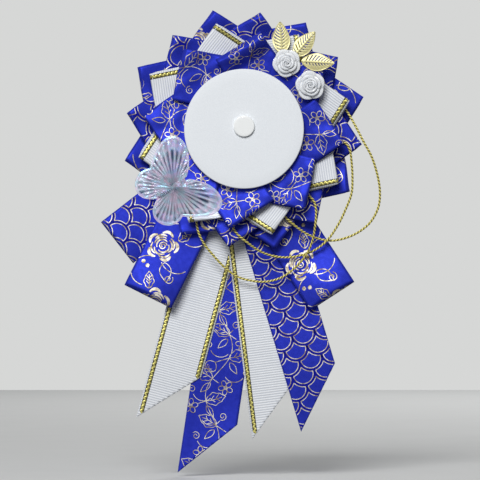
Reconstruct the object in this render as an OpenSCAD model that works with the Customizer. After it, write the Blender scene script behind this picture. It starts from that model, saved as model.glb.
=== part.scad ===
// Award rosette: four rings of folded ribbon pleats round a felt badge seat, with bow loops, hanging
// tails, looped gold cord, small ornaments and a bar pin on the back.
// Modules are drawn lying on their back: x right, y up, z towards the front. upright() stands them up.

/* [Ribbon] */
// Width of every ribbon
ribbon_w = 25; // [20:0.5:28]
// Thickness of the printed satin ribbon
satin_t = 0.25; // [0.2:0.05:0.4]
// Thickness of the white grosgrain ribbon
grosgrain_t = 0.35; // [0.25:0.05:0.5]
// Clear space between one pleat ring and the next
layer_gap = 0.15; // [0.1:0.05:0.4]

/* [Pleat rings] */
// Pleats in each ring
pleat_count = 8; // [7:1:9]
// Turn of the rose and grosgrain rings from the right-hand side
ring_turn = 15.5; // [0:0.5:45]
// Angle between a pleat's run and the radius through its tip
run_lean = 42; // [38:1:48]
// Ribbon from the fold of a pleat to its glued end
pleat_run = 28; // [25:0.5:32]
// Height of a pleat at its fold
fold_h = 1.5; // [1.2:0.1:2.4]
// Spare height where the two layers of a pleat are glued
root_slack = 0.1; // [0.05:0.05:0.3]
// Radius inside which the pleats are trimmed away
hub_r = 20; // [19:0.5:24]
// Tip radius of the rose print ring
rose_tip_r = 59.5; // [57:0.5:64]
// Tip radius of the wave print ring
wave_tip_r = 57; // [54:0.5:60]
// Tip radius of the grosgrain ring
grosgrain_tip_r = 52.5; // [50:0.5:55]
// Tip radius of the vine print ring
vine_tip_r = 48.5; // [46:0.5:50]

/* [Felt and badge seat] */
// Diameter of the front felt disc
disc_d = 57; // [50:0.5:60]
// Thickness of the front felt disc
disc_t = 2; // [1:0.1:3]
// Diameter of the round that carries the pleats
base_d = 60; // [56:1:70]
// Thickness of the round that carries the pleats
base_t = 1; // [0.6:0.1:2]
// How far the felt on the back stays inside the rim of that round
backing_inset = 0; // [0:0.5:3]
// Thickness of the felt on the back
backing_t = 1.2; // [0.8:0.1:2]
// Diameter of the badge magnet
magnet_d = 10; // [6:0.5:14]
// Thickness of the badge magnet
magnet_t = 1.5; // [1:0.1:3]
// Height of the magnet above the middle of the disc
magnet_rise = 1.2; // [0:0.1:6]

/* [Bow loops] */
// Height of a bow loop at its fold
loop_h = 1.2; // [1:0.1:2]
// Middle of the wave print loop's fold, right of the middle
wave_loop_x = -60.8; // [-70:0.1:-40]
// Middle of the wave print loop's fold, above the middle
wave_loop_y = -54.2; // [-90:0.1:-45]
// Direction of the wave print loop's run from its fold
wave_loop_dir = 38; // [30:1:50]
// Ribbon from the wave print loop's fold to its glued end
wave_loop_run = 56; // [52:1:60]
// Middle of the left rose print loop's fold, right of the middle
left_loop_x = -46; // [-70:0.1:-40]
// Middle of the left rose print loop's fold, above the middle
left_loop_y = -80; // [-90:0.1:-45]
// Direction of the left rose print loop's run from its fold
left_loop_dir = 63.5; // [55:0.5:70]
// Ribbon from the left rose print loop's fold to its glued end
left_loop_run = 68; // [62:1:72]
// Middle of the right rose print loop's fold, right of the middle
right_loop_x = 42.4; // [35:0.1:60]
// Middle of the right rose print loop's fold, above the middle
right_loop_y = -79.8; // [-90:0.1:-45]
// Direction of the right rose print loop's run from its fold
right_loop_dir = 123; // [115:0.5:130]
// Ribbon from the right rose print loop's fold to its glued end
right_loop_run = 66; // [60:1:70]

/* [Tails] */
// Height of the glued ends of the tails
tail_root_y = -10; // [-16:0.5:0]
// Clear space between one tail and the next
tail_gap = 0.3; // [0.25:0.05:0.6]
// Angle of the cut across the tails' ends
tail_cut = 47; // [30:1:55]
// Depth of the tails' waves
tail_wave_h = 0.8; // [0:0.1:1]
// Length of one wave of the tails
tail_wave_len = 64; // [50:1:90]
// Run of the tails before the first wave
tail_flat = 34; // [30:1:50]
// Root of the vine tail, right of the middle
vine_tail_x = 3.6; // [-8:0.1:8]
// Lean of the vine tail to the right
vine_tail_lean = -8.4; // [-14:0.1:14]
// Long edge of the vine tail
vine_tail_len = 158; // [110:1:190]
// Root of the left grosgrain tail, right of the middle
left_tail_x = -4; // [-8:0.1:8]
// Lean of the left grosgrain tail to the right
left_tail_lean = -15.2; // [-22:0.1:0]
// Long edge of the left grosgrain tail
left_tail_len = 136; // [110:1:170]
// Root of the middle grosgrain tail, right of the middle
middle_tail_x = -0.9; // [-8:0.1:8]
// Lean of the middle grosgrain tail to the right
middle_tail_lean = 7.2; // [0:0.1:14]
// Long edge of the middle grosgrain tail
middle_tail_len = 138; // [110:1:170]
// Root of the wave print tail, right of the middle
wave_tail_x = 0; // [-8:0.1:8]
// Lean of the wave print tail to the right
wave_tail_lean = 16.7; // [10:0.1:22]
// Long edge of the wave print tail
wave_tail_len = 137; // [110:1:170]

/* [Gold cord] */
// Diameter of the gold cord
cord_d = 1.2; // [0.8:0.1:1.4]

/* [Ornaments] */
// Diameter of the upper resin rose
upper_rose_d = 13.4; // [10:0.1:14]
// Diameter of the lower resin rose
lower_rose_d = 14; // [10:0.1:14]
// Height of a resin rose
rose_h = 6; // [4:0.1:8]
// Length of a gold leaf
leaf_len = 15.5; // [12:0.1:18]
// Width of a gold leaf
leaf_w = 8.4; // [6:0.1:9]
// Sheet thickness of a gold leaf
leaf_t = 0.4; // [0.3:0.05:0.6]
// Radius of a leaf's arch across its width
leaf_arch_r = 9; // [7:0.5:20]
// Pairs of slits between a leaf's veins
leaf_slits = 5; // [3:1:6]
// Width of a slit
slit_w = 0.45; // [0.3:0.05:0.7]
// Thickness of a butterfly wing at its rim
wing_rim_t = 0.9; // [0.6:0.1:1.6]
// Thickness of a butterfly wing at its body
wing_root_t = 2.2; // [1.6:0.1:3]
// Height of the pressed ridges on a wing
wing_ridge_h = 0.5; // [0.2:0.1:0.8]
// Thickness of the butterfly's body
butterfly_body_d = 3.4; // [2.5:0.1:4.5]

/* [Bar pin] */
// Length of the pin bar
bar_len = 38; // [36:1:44]
// Width of the pin bar
bar_w = 5; // [4.5:0.1:8]
// Sheet thickness of the pin bar
bar_t = 0.8; // [0.6:0.1:1.2]
// Height of the pin bar above the middle of the backing
bar_rise = 12; // [8:0.5:18]
// Diameter of the sewing holes in the bar
sew_hole_d = 2; // [1.5:0.1:2.5]
// Spacing of the sewing holes
sew_hole_pitch = 12; // [8:0.5:16]
// Distance of the pin stem's axis from the backing
stem_stand_off = 3.5; // [3.4:0.1:5]
// Diameter of the pin stem
stem_d = 0.9; // [0.7:0.1:1.1]
// Distance from the hinge axis to the stem's point
stem_len = 33; // [30:0.5:34]
// Length of the stem's tapered point
point_len = 4; // [2:0.5:6]
// Diameter of the hinge rivet
rivet_d = 1.2; // [1:0.1:1.5]
// Diameter of the rivet's heads
rivet_head_d = 2; // [1.8:0.1:2.6]
// Thickness of a rivet head
rivet_head_t = 0.4; // [0.3:0.1:0.8]
// Thickness of a hinge ear
ear_t = 0.6; // [0.5:0.1:1]
// Width of a hinge ear
ear_w = 3.2; // [2.8:0.1:4]
// Thickness of the stem's eye
eye_t = 1.4; // [1.2:0.1:1.8]
// Outer diameter of the stem's eye
eye_d = 2.8; // [2.6:0.1:3.2]
// Distance from the hinge axis to the catch
catch_pos = 27.5; // [26:0.5:28]
// Length of the catch's fixed keeper
keeper_len = 3; // [2.4:0.1:4]
// Wall of the keeper
keeper_wall = 0.8; // [0.6:0.1:1]
// Outer diameter of the turning catch
catch_d = 3.2; // [2.8:0.1:3.4]
// Width of the slots that let the stem through
slot_w = 1.4; // [1.3:0.1:1.6]
// Diameter of the catch's end collars
collar_d = 4; // [3.8:0.1:4.6]
// Thickness of the catch's end collars
collar_t = 0.7; // [0.5:0.1:1]
// Reach of the catch's thumb tab from its axis
tab_reach = 4.4; // [3.6:0.1:5]
// Running clearance of the pin's moving pieces
run_gap = 0.06; // [0.05:0.01:0.1]

/* [Hidden] */
$fn = 48;
ring_names = ["rose", "wave", "grosgrain", "vine"];
function pleat_name(ring, i) = str(ring, "_pleat_", i + 1);

// Colours
blue_satin = "#2f3fe0";
white_grosgrain = "#e6e8eb";
gold_thread = "#c9a23c";
pale_gold = "#e3d98f";
white_felt = "#e1e5e9";
white_resin = "#f1f2f4";
clear_acrylic = "#cfd8ea";
nickel = "#b9bcc2";

// Pleats lean so that each one clears the pleat that it lies on, and each ring clears the ring below
pitch = 360 / pleat_count;
half_turn = ring_turn - pitch / 2;
grosgrain_root_h = 2 * grosgrain_t + root_slack;
satin_root_h = 2 * satin_t + root_slack;
tilt_slope = (max(grosgrain_root_h, satin_root_h) + layer_gap) / (2 * sin(pitch / 2) * hub_r * cos(pitch));
pleat_tilt = atan(tilt_slope);
pleat_drop = pleat_run * sin(run_lean) * tilt_slope;
pleat_climb = ribbon_w * cos(run_lean) * tilt_slope;
// Drop of a rose pleat's glued end where it crosses the rim of the round below it
end_corner = [rose_tip_r - pleat_run * cos(run_lean), -pleat_run * sin(run_lean)];
end_dir = [-sin(run_lean), cos(run_lean)];
end_reach = -end_corner * end_dir
    - sqrt(pow(end_corner * end_dir, 2) - end_corner * end_corner + pow(base_d / 2, 2));
base_seat_drop = -(end_corner + end_reach * end_dir).y * tilt_slope;
function ring_step(tip_r) = fold_h + layer_gap + 2 * sin(pitch / 4) * tilt_slope * tip_r;
backing_d = base_d - 2 * backing_inset;

// Levels from the back to the front
vine_tail_z = backing_t + tail_gap;
left_tail_z = vine_tail_z + satin_t + tail_gap;
middle_tail_z = left_tail_z + grosgrain_t + tail_gap;
wave_tail_z = middle_tail_z + grosgrain_t + tail_gap;
low_loop_z = wave_tail_z + satin_t + tail_gap;
high_loop_z = low_loop_z + loop_h + layer_gap;
base_z = high_loop_z + loop_h + layer_gap;
rose_ring_z = base_z + layer_gap + max(base_t + base_seat_drop, pleat_drop);
wave_ring_z = rose_ring_z + ring_step(wave_tip_r);
grosgrain_ring_z = wave_ring_z + ring_step(grosgrain_tip_r);
vine_ring_z = grosgrain_ring_z + ring_step(vine_tip_r);
front_z = vine_ring_z + pleat_climb + fold_h + layer_gap;

// Rounded steps of a ribbon's fold and of its slope back to the glued end
fold_steps = 10;
slope_steps = 5;
wave_steps = 26;
// Room past a shape for the tool that trims it
overcut = 5;

// Middle points of the gold cords, from one tucked end to the other
outer_cord_route = [
    [45.5, 12.5, 12.7], [47.8, 10.2, 12.8], [50.4, 6.6, 13.4], [53.6, 0.8, 14.3], [57.2, -6.2, 14.7],
    [61, -13.2, 13.7], [63.8, -22, 11.9], [65, -30, 10.3], [64.2, -37.4, 9.1], [60.6, -44.2, 8.3],
    [55, -49, 7.8], [48.4, -52, 7.5], [41.4, -53.2, 7.5], [34.2, -51.8, 8.5], [27.8, -48.6, 10.7],
    [22.4, -44.4, 13.3], [18.4, -40.8, 14.3]
];
middle_cord_route = [
    [44, -5.4, 16.1], [48.4, -6.6, 15.9], [50.6, -10.4, 15.1], [51.4, -16, 13.9], [51.8, -22.6, 12.7],
    [51.4, -30.6, 11.7], [48.6, -38.2, 10.7], [45, -45.6, 9.9], [40.2, -52.6, 9.3], [34.4, -57.4, 8.7],
    [28, -60, 8.3], [20.6, -61.2, 8.1], [13.4, -60.4, 8.9], [7.2, -58, 11.3], [2, -54.4, 14.3],
    [-2.4, -50.8, 15.3], [-5, -47.4, 15.7], [-5.2, -43.6, 16.1]
];
lower_cord_route = [
    [28.4, -31.6, 16.1], [31.6, -32.4, 16.1], [33.8, -35.4, 15.7], [34.4, -40.2, 15.1], [34, -46, 14.3],
    [33, -52, 12.7], [31, -57.6, 11.1], [27.6, -62.8, 9.9], [23, -67.4, 8.7], [17.6, -71, 7.9],
    [10.8, -72.8, 7.4], [3.6, -72.4, 7.4], [-3.2, -70.4, 7.7], [-8.6, -66.6, 8.5], [-14, -61, 9.7],
    [-19, -54.8, 11], [-21.8, -49, 11.8], [-22.8, -43.6, 12.5]
];
cord_sides = 8;

// Places of the ornaments round the felt disc, and of the leaves round the upper rose
function polar(r, angle) = r * [cos(angle), sin(angle)];
rose_room = 2;
upper_rose_at = polar((disc_d + upper_rose_d) / 2 + rose_room, 57.2);
lower_rose_at = polar((disc_d + lower_rose_d) / 2 + rose_room, 33.4);
butterfly_at = polar(disc_d / 2 + 15, 219.8);
butterfly_heading = 34.5;
leaf_tuck = 2.2;
top_leaf_base = upper_rose_at + polar(upper_rose_d / 2 - leaf_tuck, 116.6);
top_leaf_dir = 94;
middle_leaf_base = upper_rose_at + polar(upper_rose_d / 2 - leaf_tuck, 41.4);
middle_leaf_dir = 49;
side_leaf_room = 0.5;
side_leaf_base = upper_rose_at + polar(upper_rose_d / 2 + side_leaf_room, 6);
side_leaf_dir = -4;
// Solid rib along the middle of a leaf, half its width
leaf_rib_w = 0.5;
// Top of the vine pleat whose tip is turned by an angle, under a point of the front
function pleat_top(at, turn) =
    vine_ring_z + fold_h + tilt_slope * norm(at) * sin(atan2(at.y, at.x) - turn);
side_leaf_carrier = half_turn + pitch;
tucked_leaf_z = front_z - layer_gap;
leaf_crown = leaf_arch_r - sqrt(pow(leaf_arch_r, 2) - pow(leaf_w / 2, 2)) + leaf_t;
side_leaf_z = pleat_top(side_leaf_base, side_leaf_carrier) + tilt_slope * leaf_w / 2
    + leaf_crown + layer_gap;

// Stands a lying piece up, with its front towards -Y
module upright() {
    rotate([90, 0, 0]) children();
}

// Outline of a band of thickness t whose middle line runs along path
function band_normal(path, i) =
    let (
        a = path[max(i - 1, 0)],
        b = path[min(i + 1, len(path) - 1)],
        d = (b - a) / norm(b - a)
    )
    [-d.y, d.x];
function band_side(path, offset) = [for (i = [0 : len(path) - 1]) path[i] + offset * band_normal(path, i)];
function reversed(list) = [for (i = [len(list) - 1 : -1 : 0]) list[i]];
function band_outline(path, t) = concat(band_side(path, t / 2), reversed(band_side(path, -t / 2)));

// Eases from 0 to 1 with level ends
function eased(f) = (1 - cos(180 * f)) / 2;

// Middle line of a folded ribbon: out along the bottom, round the fold, and back on top
function fold_path(run, top_h, root_h, t) =
    let (
        r = (top_h - t) / 2,
        centre = t / 2 + r
    )
    concat(
        [[run, t / 2]],
        [for (i = [0 : fold_steps])
            let (a = 270 - 180 * i / fold_steps)
            [centre + r * cos(a), centre + r * sin(a)]],
        [for (i = [1 : slope_steps])
            let (f = i / slope_steps)
            [centre + (run - centre) * f, top_h - t / 2 - (top_h - root_h) * eased(f)]]
    );

// Folded ribbon with its fold on the x axis, from x = 0 to the ribbon's width, running along +y
module folded_ribbon(run, top_h, root_h, t) {
    rotate([90, 0, 90])
        linear_extrude(ribbon_w)
            polygon(band_outline(fold_path(run, top_h, root_h, t), t));
}

// One pleat of a ring: a folded ribbon whose fold starts at the tip and whose run dips clockwise
module pleat(tip_r, turn, level, t) {
    rotate([0, 0, turn])
        difference() {
            translate([0, 0, level])
                rotate([pleat_tilt, 0, 0])
                    translate([tip_r, 0, 0])
                        rotate([0, 0, 90 + run_lean])
                            folded_ribbon(pleat_run, fold_h, 2 * t + root_slack, t);
            translate([0, 0, level - pleat_drop - overcut])
                cylinder(r = hub_r, h = pleat_drop + pleat_climb + fold_h + 2 * overcut);
        }
}

module rose_pleat(i) {
    color(blue_satin) upright() pleat(rose_tip_r, ring_turn + i * pitch, rose_ring_z, satin_t);
}

module wave_pleat(i) {
    color(blue_satin) upright() pleat(wave_tip_r, half_turn + i * pitch, wave_ring_z, satin_t);
}

module grosgrain_pleat(i) {
    color(white_grosgrain)
        upright()
            pleat(grosgrain_tip_r, ring_turn + i * pitch, grosgrain_ring_z, grosgrain_t);
}

module vine_pleat(i) {
    color(blue_satin) upright() pleat(vine_tip_r, half_turn + i * pitch, vine_ring_z, satin_t);
}

// Bow loop whose fold is centred on a point and whose run goes off in a direction
module bow_loop(fold, dir, run, level) {
    translate([fold.x, fold.y, level])
        rotate([0, 0, dir - 90])
            translate([-ribbon_w / 2, 0, 0])
                folded_ribbon(run, loop_h, satin_root_h, satin_t);
}

module wave_bow_loop() {
    color(blue_satin)
        upright()
            bow_loop([wave_loop_x, wave_loop_y], wave_loop_dir, wave_loop_run, low_loop_z);
}

module left_bow_loop() {
    color(blue_satin)
        upright()
            bow_loop([left_loop_x, left_loop_y], left_loop_dir, left_loop_run, high_loop_z);
}

module right_bow_loop() {
    color(blue_satin)
        upright()
            bow_loop([right_loop_x, right_loop_y], right_loop_dir, right_loop_run, low_loop_z);
}

// Sag of a tail behind its own level, at a height below its root
function tail_sag(below) =
    tail_wave_h * (1 - cos(360 * max(below - tail_flat, 0) / tail_wave_len)) / 2;

// Hanging tail with a slanted end, its long edge on the left
module tail(root_x, lean, long_len, level, t) {
    path = [for (i = [0 : wave_steps])
        let (s = long_len * i / wave_steps)
        [s, t / 2 - tail_sag(s * cos(lean))]];
    short_len = long_len - ribbon_w * tan(tail_cut);
    translate([root_x, tail_root_y, level])
        rotate([0, 0, lean - 180])
            translate([-ribbon_w / 2, 0, 0])
                intersection() {
                    rotate([90, 0, 90])
                        linear_extrude(ribbon_w)
                            polygon(band_outline(path, t));
                    translate([0, 0, -tail_wave_h - overcut])
                        linear_extrude(tail_wave_h + t + 2 * overcut)
                            polygon([[0, 0], [ribbon_w, 0], [ribbon_w, long_len], [0, short_len]]);
                }
}

module vine_tail() {
    color(blue_satin) upright() tail(vine_tail_x, vine_tail_lean, vine_tail_len, vine_tail_z, satin_t);
}

module left_grosgrain_tail() {
    color(white_grosgrain)
        upright()
            tail(left_tail_x, left_tail_lean, left_tail_len, left_tail_z, grosgrain_t);
}

module middle_grosgrain_tail() {
    color(white_grosgrain)
        upright()
            tail(middle_tail_x, middle_tail_lean, middle_tail_len, middle_tail_z, grosgrain_t);
}

module wave_tail() {
    color(blue_satin) upright() tail(wave_tail_x, wave_tail_lean, wave_tail_len, wave_tail_z, satin_t);
}

// Round tube of triangles along a route
function route_dir(route, i) =
    let (d = route[min(i + 1, len(route) - 1)] - route[max(i - 1, 0)])
    d / norm(d);
function tube_ring(route, i, r) =
    let (
        along = route_dir(route, i),
        side = cross(along, [0, 0, 1]) / norm(cross(along, [0, 0, 1])),
        up = cross(side, along)
    )
    [for (k = [0 : cord_sides - 1])
        let (a = 360 * k / cord_sides)
        route[i] + r * (cos(a) * side + sin(a) * up)];
// Point at a share f of the way between route points i and i + 1, on a smooth curve through them all
function smooth_point(route, i, f) =
    let (
        p0 = route[max(i - 1, 0)],
        p1 = route[i],
        p2 = route[min(i + 1, len(route) - 1)],
        p3 = route[min(i + 2, len(route) - 1)]
    )
    (2 * p1 + (p2 - p0) * f + (2 * p0 - 5 * p1 + 4 * p2 - p3) * pow(f, 2)
        + (3 * p1 - p0 - 3 * p2 + p3) * pow(f, 3)) / 2;
function smooth_route(route) = concat(
    [for (i = [0 : len(route) - 2]) for (f = [0, 0.5]) smooth_point(route, i, f)],
    [route[len(route) - 1]]
);

module cord(route) {
    path = smooth_route(route);
    rings = len(path);
    points = [for (i = [0 : rings - 1]) for (p = tube_ring(path, i, cord_d / 2)) p];
    walls = [for (i = [0 : rings - 2]) for (k = [0 : cord_sides - 1])
        let (
            a = i * cord_sides + k,
            b = i * cord_sides + (k + 1) % cord_sides
        )
        each [[a, b, b + cord_sides], [a, b + cord_sides, a + cord_sides]]];
    last = (rings - 1) * cord_sides;
    caps = [for (k = [1 : cord_sides - 2])
        each [[0, k + 1, k], [last, last + k, last + k + 1]]];
    polyhedron(points, concat(walls, caps));
}

module outer_gold_cord() {
    color(gold_thread) upright() cord(outer_cord_route);
}

module middle_gold_cord() {
    color(gold_thread) upright() cord(middle_cord_route);
}

module lower_gold_cord() {
    color(gold_thread) upright() cord(lower_cord_route);
}

module felt_disc() {
    color(white_felt) upright() translate([0, 0, front_z]) cylinder(d = disc_d, h = disc_t);
}

module badge_magnet() {
    edge = 0.3;
    color(white_resin)
        upright()
            translate([0, magnet_rise, front_z + disc_t])
                rotate_extrude()
                    polygon([
                        [0, 0], [magnet_d / 2, 0], [magnet_d / 2, magnet_t - edge],
                        [magnet_d / 2 - edge, magnet_t], [0, magnet_t]
                    ]);
}

// Round with a pad behind its upper part, which the backing is glued to above the ends of the tails
module pleat_base() {
    pad_bottom = tail_root_y + ribbon_w / 2 * sin(max(abs(left_tail_lean), abs(wave_tail_lean))) + tail_gap;
    color(white_felt)
        upright() {
            translate([0, 0, base_z]) cylinder(d = base_d, h = base_t);
            intersection() {
                translate([0, 0, backing_t]) cylinder(d = backing_d, h = base_z - backing_t);
                translate([-base_d, pad_bottom, 0]) cube([2 * base_d, base_d, base_z]);
            }
        }
}

module backing_felt() {
    color(white_felt) upright() cylinder(d = backing_d, h = backing_t);
}

// Cast rose: a dome whose petals wind outwards from the bud, each lip a ridge with a groove beside it
rose_turns = 3.2;
petal_relief = 0.9;
rose_lobes = 5;
rose_rings = 12;
rose_spokes = 36;

function rose_rim(angle) = 1 - 0.05 * (1 - cos(rose_lobes * angle)) / 2;
function rose_height(share, angle) =
    let (
        dome = rose_h * (0.3 + 0.7 * cos(75 * share)) - petal_relief,
        winding = 360 * (rose_turns * share - angle / 360) + 25 * sin(rose_lobes * angle)
    )
    dome + petal_relief * (1 - cos(winding)) / 2;

module resin_rose(d) {
    function spoke_point(i, k) =
        let (
            angle = 360 * k / rose_spokes,
            share = i / rose_rings,
            r = d / 2 * share * rose_rim(angle)
        )
        [r * cos(angle), r * sin(angle), rose_height(share, angle)];
    top = [for (i = [1 : rose_rings]) for (k = [0 : rose_spokes - 1]) spoke_point(i, k)];
    foot = [for (k = [0 : rose_spokes - 1])
        let (p = spoke_point(rose_rings, k))
        [p.x, p.y, 0]];
    points = concat([[0, 0, 0], [0, 0, rose_h - petal_relief / 2]], top, foot);
    function at(i, k) = 2 + (i - 1) * rose_spokes + k % rose_spokes;
    bud = [for (k = [0 : rose_spokes - 1]) [1, at(1, k + 1), at(1, k)]];
    base = [for (k = [0 : rose_spokes - 1]) [0, at(rose_rings + 1, k), at(rose_rings + 1, k + 1)]];
    walls = [for (i = [1 : rose_rings]) for (k = [0 : rose_spokes - 1])
        each [
            [at(i, k), at(i, k + 1), at(i + 1, k + 1)],
            [at(i, k), at(i + 1, k + 1), at(i + 1, k)]
        ]];
    polyhedron(points, concat(bud, base, walls));
}

module upper_resin_rose() {
    color(white_resin)
        upright()
            translate([upper_rose_at.x, upper_rose_at.y, front_z])
                resin_rose(upper_rose_d);
}

module lower_resin_rose() {
    color(white_resin)
        upright()
            translate([lower_rose_at.x, lower_rose_at.y, front_z])
                resin_rose(lower_rose_d);
}

// Pierced leaf along +y from its base at the origin, arched across its width with its crown at z = 0
module leaf_outline() {
    side_r = (pow(leaf_len, 2) + pow(leaf_w, 2)) / (4 * leaf_w);
    intersection_for(side = [-1, 1])
        translate([side * (side_r - leaf_w / 2), leaf_len / 2])
            circle(side_r);
}

module leaf_slit_row(side) {
    vein_angle = 40;
    for (i = [1 : leaf_slits]) {
        f = i / (leaf_slits + 1);
        half_w = leaf_w / 2 * sin(180 * f);
        translate([side * leaf_rib_w, leaf_len * (0.08 + 0.72 * f), -leaf_arch_r])
            rotate([0, 0, side * (vein_angle - 90)])
                translate([-slit_w / 2, 0, 0])
                    cube([slit_w, max(half_w - 2 * leaf_rib_w, slit_w), 2 * leaf_arch_r]);
    }
}

module gold_leaf() {
    difference() {
        intersection() {
            translate([0, 0, -leaf_arch_r])
                linear_extrude(2 * leaf_arch_r)
                    leaf_outline();
            translate([0, -overcut, -leaf_arch_r])
                rotate([-90, 0, 0])
                    difference() {
                        cylinder(r = leaf_arch_r, h = leaf_len + 2 * overcut);
                        translate([0, 0, -overcut])
                            cylinder(r = leaf_arch_r - leaf_t, h = leaf_len + 4 * overcut);
                    }
        }
        for (side = [-1, 1]) leaf_slit_row(side);
    }
}

// Leaf laid from a base point towards a direction, its crown at a level
module laid_leaf(base, dir, crown_z) {
    color(pale_gold)
        upright()
            translate([base.x, base.y, crown_z])
                rotate([0, 0, dir - 90])
                    gold_leaf();
}

module top_leaf() {
    laid_leaf(top_leaf_base, top_leaf_dir, tucked_leaf_z);
}

module middle_leaf() {
    laid_leaf(middle_leaf_base, middle_leaf_dir, tucked_leaf_z);
}

module side_leaf() {
    laid_leaf(side_leaf_base, side_leaf_dir, side_leaf_z);
}

// Pressed wing: a fan of ridges from the body to the rim, as angle from the head and reach of each ridge
fore_wing = [
    [10, 7], [22, 12], [34, 18], [43, 22], [50, 24], [57, 24.4], [64, 23.8], [72, 21.8], [81, 19],
    [90, 16.8], [99, 15.2], [107, 14.4]
];
hind_wing = [
    [107, 14.4], [115, 16], [123, 17.4], [131, 18.2], [140, 18.4], [149, 18], [157, 17], [165, 15],
    [172, 11.4], [177, 7.6]
];

module wing(ridges) {
    count = len(ridges);
    function rim(i, z) = [ridges[i][1] * cos(ridges[i][0]), ridges[i][1] * sin(ridges[i][0]), z];
    points = concat(
        [[0, 0, 0], [0, 0, wing_root_t]],
        [for (i = [0 : count - 1]) each [rim(i, 0), rim(i, wing_rim_t + wing_ridge_h * (i % 2))]]
    );
    fan = [for (i = [0 : count - 2])
        let (a = 2 + 2 * i)
        each [[1, a + 3, a + 1], [0, a, a + 2], [a, a + 1, a + 3], [a, a + 3, a + 2]]];
    last = 2 * count;
    sides = [[0, 1, 3], [0, 3, 2], [0, last, last + 1], [0, last + 1, 1]];
    polyhedron(points, concat(fan, sides));
}

module butterfly_body() {
    r = butterfly_body_d / 2;
    tail_r = r * 0.45;
    tail_at = -9;
    waist_at = -2;
    neck_at = 4;
    neck_taper = 1.6;
    head_at = 5.4;
    head_r = r * 0.85;
    translate([0, 0, r])
        rotate([0, 90, 0])
            rotate_extrude()
                polygon([
                    [0, tail_at], [tail_r, tail_at], [r, waist_at], [r, neck_at - neck_taper],
                    [r * 0.7, neck_at], [0, neck_at]
                ]);
    translate([head_at, 0, r]) sphere(head_r);
}

module butterfly() {
    color(clear_acrylic)
        upright()
            translate([butterfly_at.x, butterfly_at.y, front_z])
                rotate([0, 0, butterfly_heading]) {
                    wing(fore_wing);
                    wing(hind_wing);
                    mirror([0, 1, 0]) wing(fore_wing);
                    mirror([0, 1, 0]) wing(hind_wing);
                    butterfly_body();
                }
}

// Bar pin, drawn with z away from the backing and the hinge axis along y at x = 0
module pin_frame() {
    upright() translate([-stem_len / 2, bar_rise, 0]) mirror([0, 0, 1]) children();
}

module hinge_ear() {
    linear_extrude(ear_t)
        difference() {
            union() {
                translate([-ear_w / 2, bar_t / 2]) square([ear_w, stem_stand_off - bar_t / 2]);
                translate([0, stem_stand_off]) circle(d = ear_w);
            }
            translate([0, stem_stand_off]) circle(d = rivet_d);
        }
}

// Ring with a slot through its far side, drawn round the origin with the slot towards +y
module slotted_ring(outer_d, inner_d) {
    difference() {
        circle(d = outer_d);
        circle(d = inner_d);
        translate([-slot_w / 2, 0]) square([slot_w, outer_d]);
    }
}

module catch_keeper() {
    keeper_d = catch_d + 2 * (run_gap + keeper_wall);
    linear_extrude(keeper_len)
        union() {
            translate([0, stem_stand_off]) slotted_ring(keeper_d, catch_d + 2 * run_gap);
            difference() {
                translate([-keeper_d / 2, bar_t / 2]) square([keeper_d, stem_stand_off - bar_t / 2]);
                translate([0, stem_stand_off]) circle(d = catch_d + keeper_wall);
            }
        }
}

// Turns a profile drawn across the bar, with its second axis away from the backing, to face along the bar
module along_bar(x) {
    translate([x, 0, 0]) rotate([90, 0, 90]) children();
}

module pin_bar() {
    eye_room = eye_t + 2 * run_gap;
    bar_mid = stem_len / 2;
    color(nickel)
        pin_frame() {
            translate([bar_mid, 0, 0])
                linear_extrude(bar_t)
                    difference() {
                        square([bar_len - bar_w, bar_w], center = true);
                        for (side = [-1, 1])
                            translate([side * sew_hole_pitch / 2, 0]) circle(d = sew_hole_d);
                    }
            for (side = [-1, 1])
                translate([bar_mid + side * (bar_len - bar_w) / 2, 0, 0]) cylinder(d = bar_w, h = bar_t);
            for (y = [eye_room / 2 + ear_t, -eye_room / 2])
                translate([0, y, 0]) rotate([90, 0, 0]) hinge_ear();
            along_bar(catch_pos) catch_keeper();
        }
}

module hinge_rivet() {
    span = eye_t + 2 * (run_gap + ear_t);
    color(nickel)
        pin_frame()
            translate([0, span / 2, stem_stand_off])
                rotate([90, 0, 0]) {
                    cylinder(d = rivet_d, h = span);
                    translate([0, 0, -rivet_head_t]) cylinder(d = rivet_head_d, h = rivet_head_t);
                    translate([0, 0, span]) cylinder(d = rivet_head_d, h = rivet_head_t);
                }
}

module pin_stem() {
    tip_flat = 0.1;
    color(nickel)
        pin_frame()
            translate([0, 0, stem_stand_off])
                difference() {
                    union() {
                        rotate([90, 0, 0]) cylinder(d = eye_d, h = eye_t, center = true);
                        rotate([0, 90, 0]) cylinder(d = stem_d, h = stem_len - point_len);
                        translate([stem_len - point_len, 0, 0])
                            rotate([0, 90, 0])
                                cylinder(d1 = stem_d, d2 = tip_flat, h = point_len);
                    }
                    rotate([90, 0, 0])
                        cylinder(d = rivet_d + 2 * run_gap, h = eye_t + overcut, center = true);
                }
}

module safety_catch() {
    collar_at = keeper_len + run_gap;
    tab_t = 1;
    color(nickel)
        pin_frame()
            translate([0, 0, stem_stand_off])
                along_bar(catch_pos) {
                    translate([0, 0, -run_gap])
                        linear_extrude(keeper_len + 2 * run_gap) slotted_ring(catch_d, slot_w);
                    translate([0, 0, collar_at])
                        linear_extrude(collar_t) slotted_ring(collar_d, slot_w);
                    translate([0, 0, -run_gap - collar_t])
                        linear_extrude(collar_t) {
                            slotted_ring(collar_d, slot_w);
                            translate([catch_d / 2, -tab_t / 2]) square([tab_reach - catch_d / 2, tab_t]);
                        }
                }
}

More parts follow.
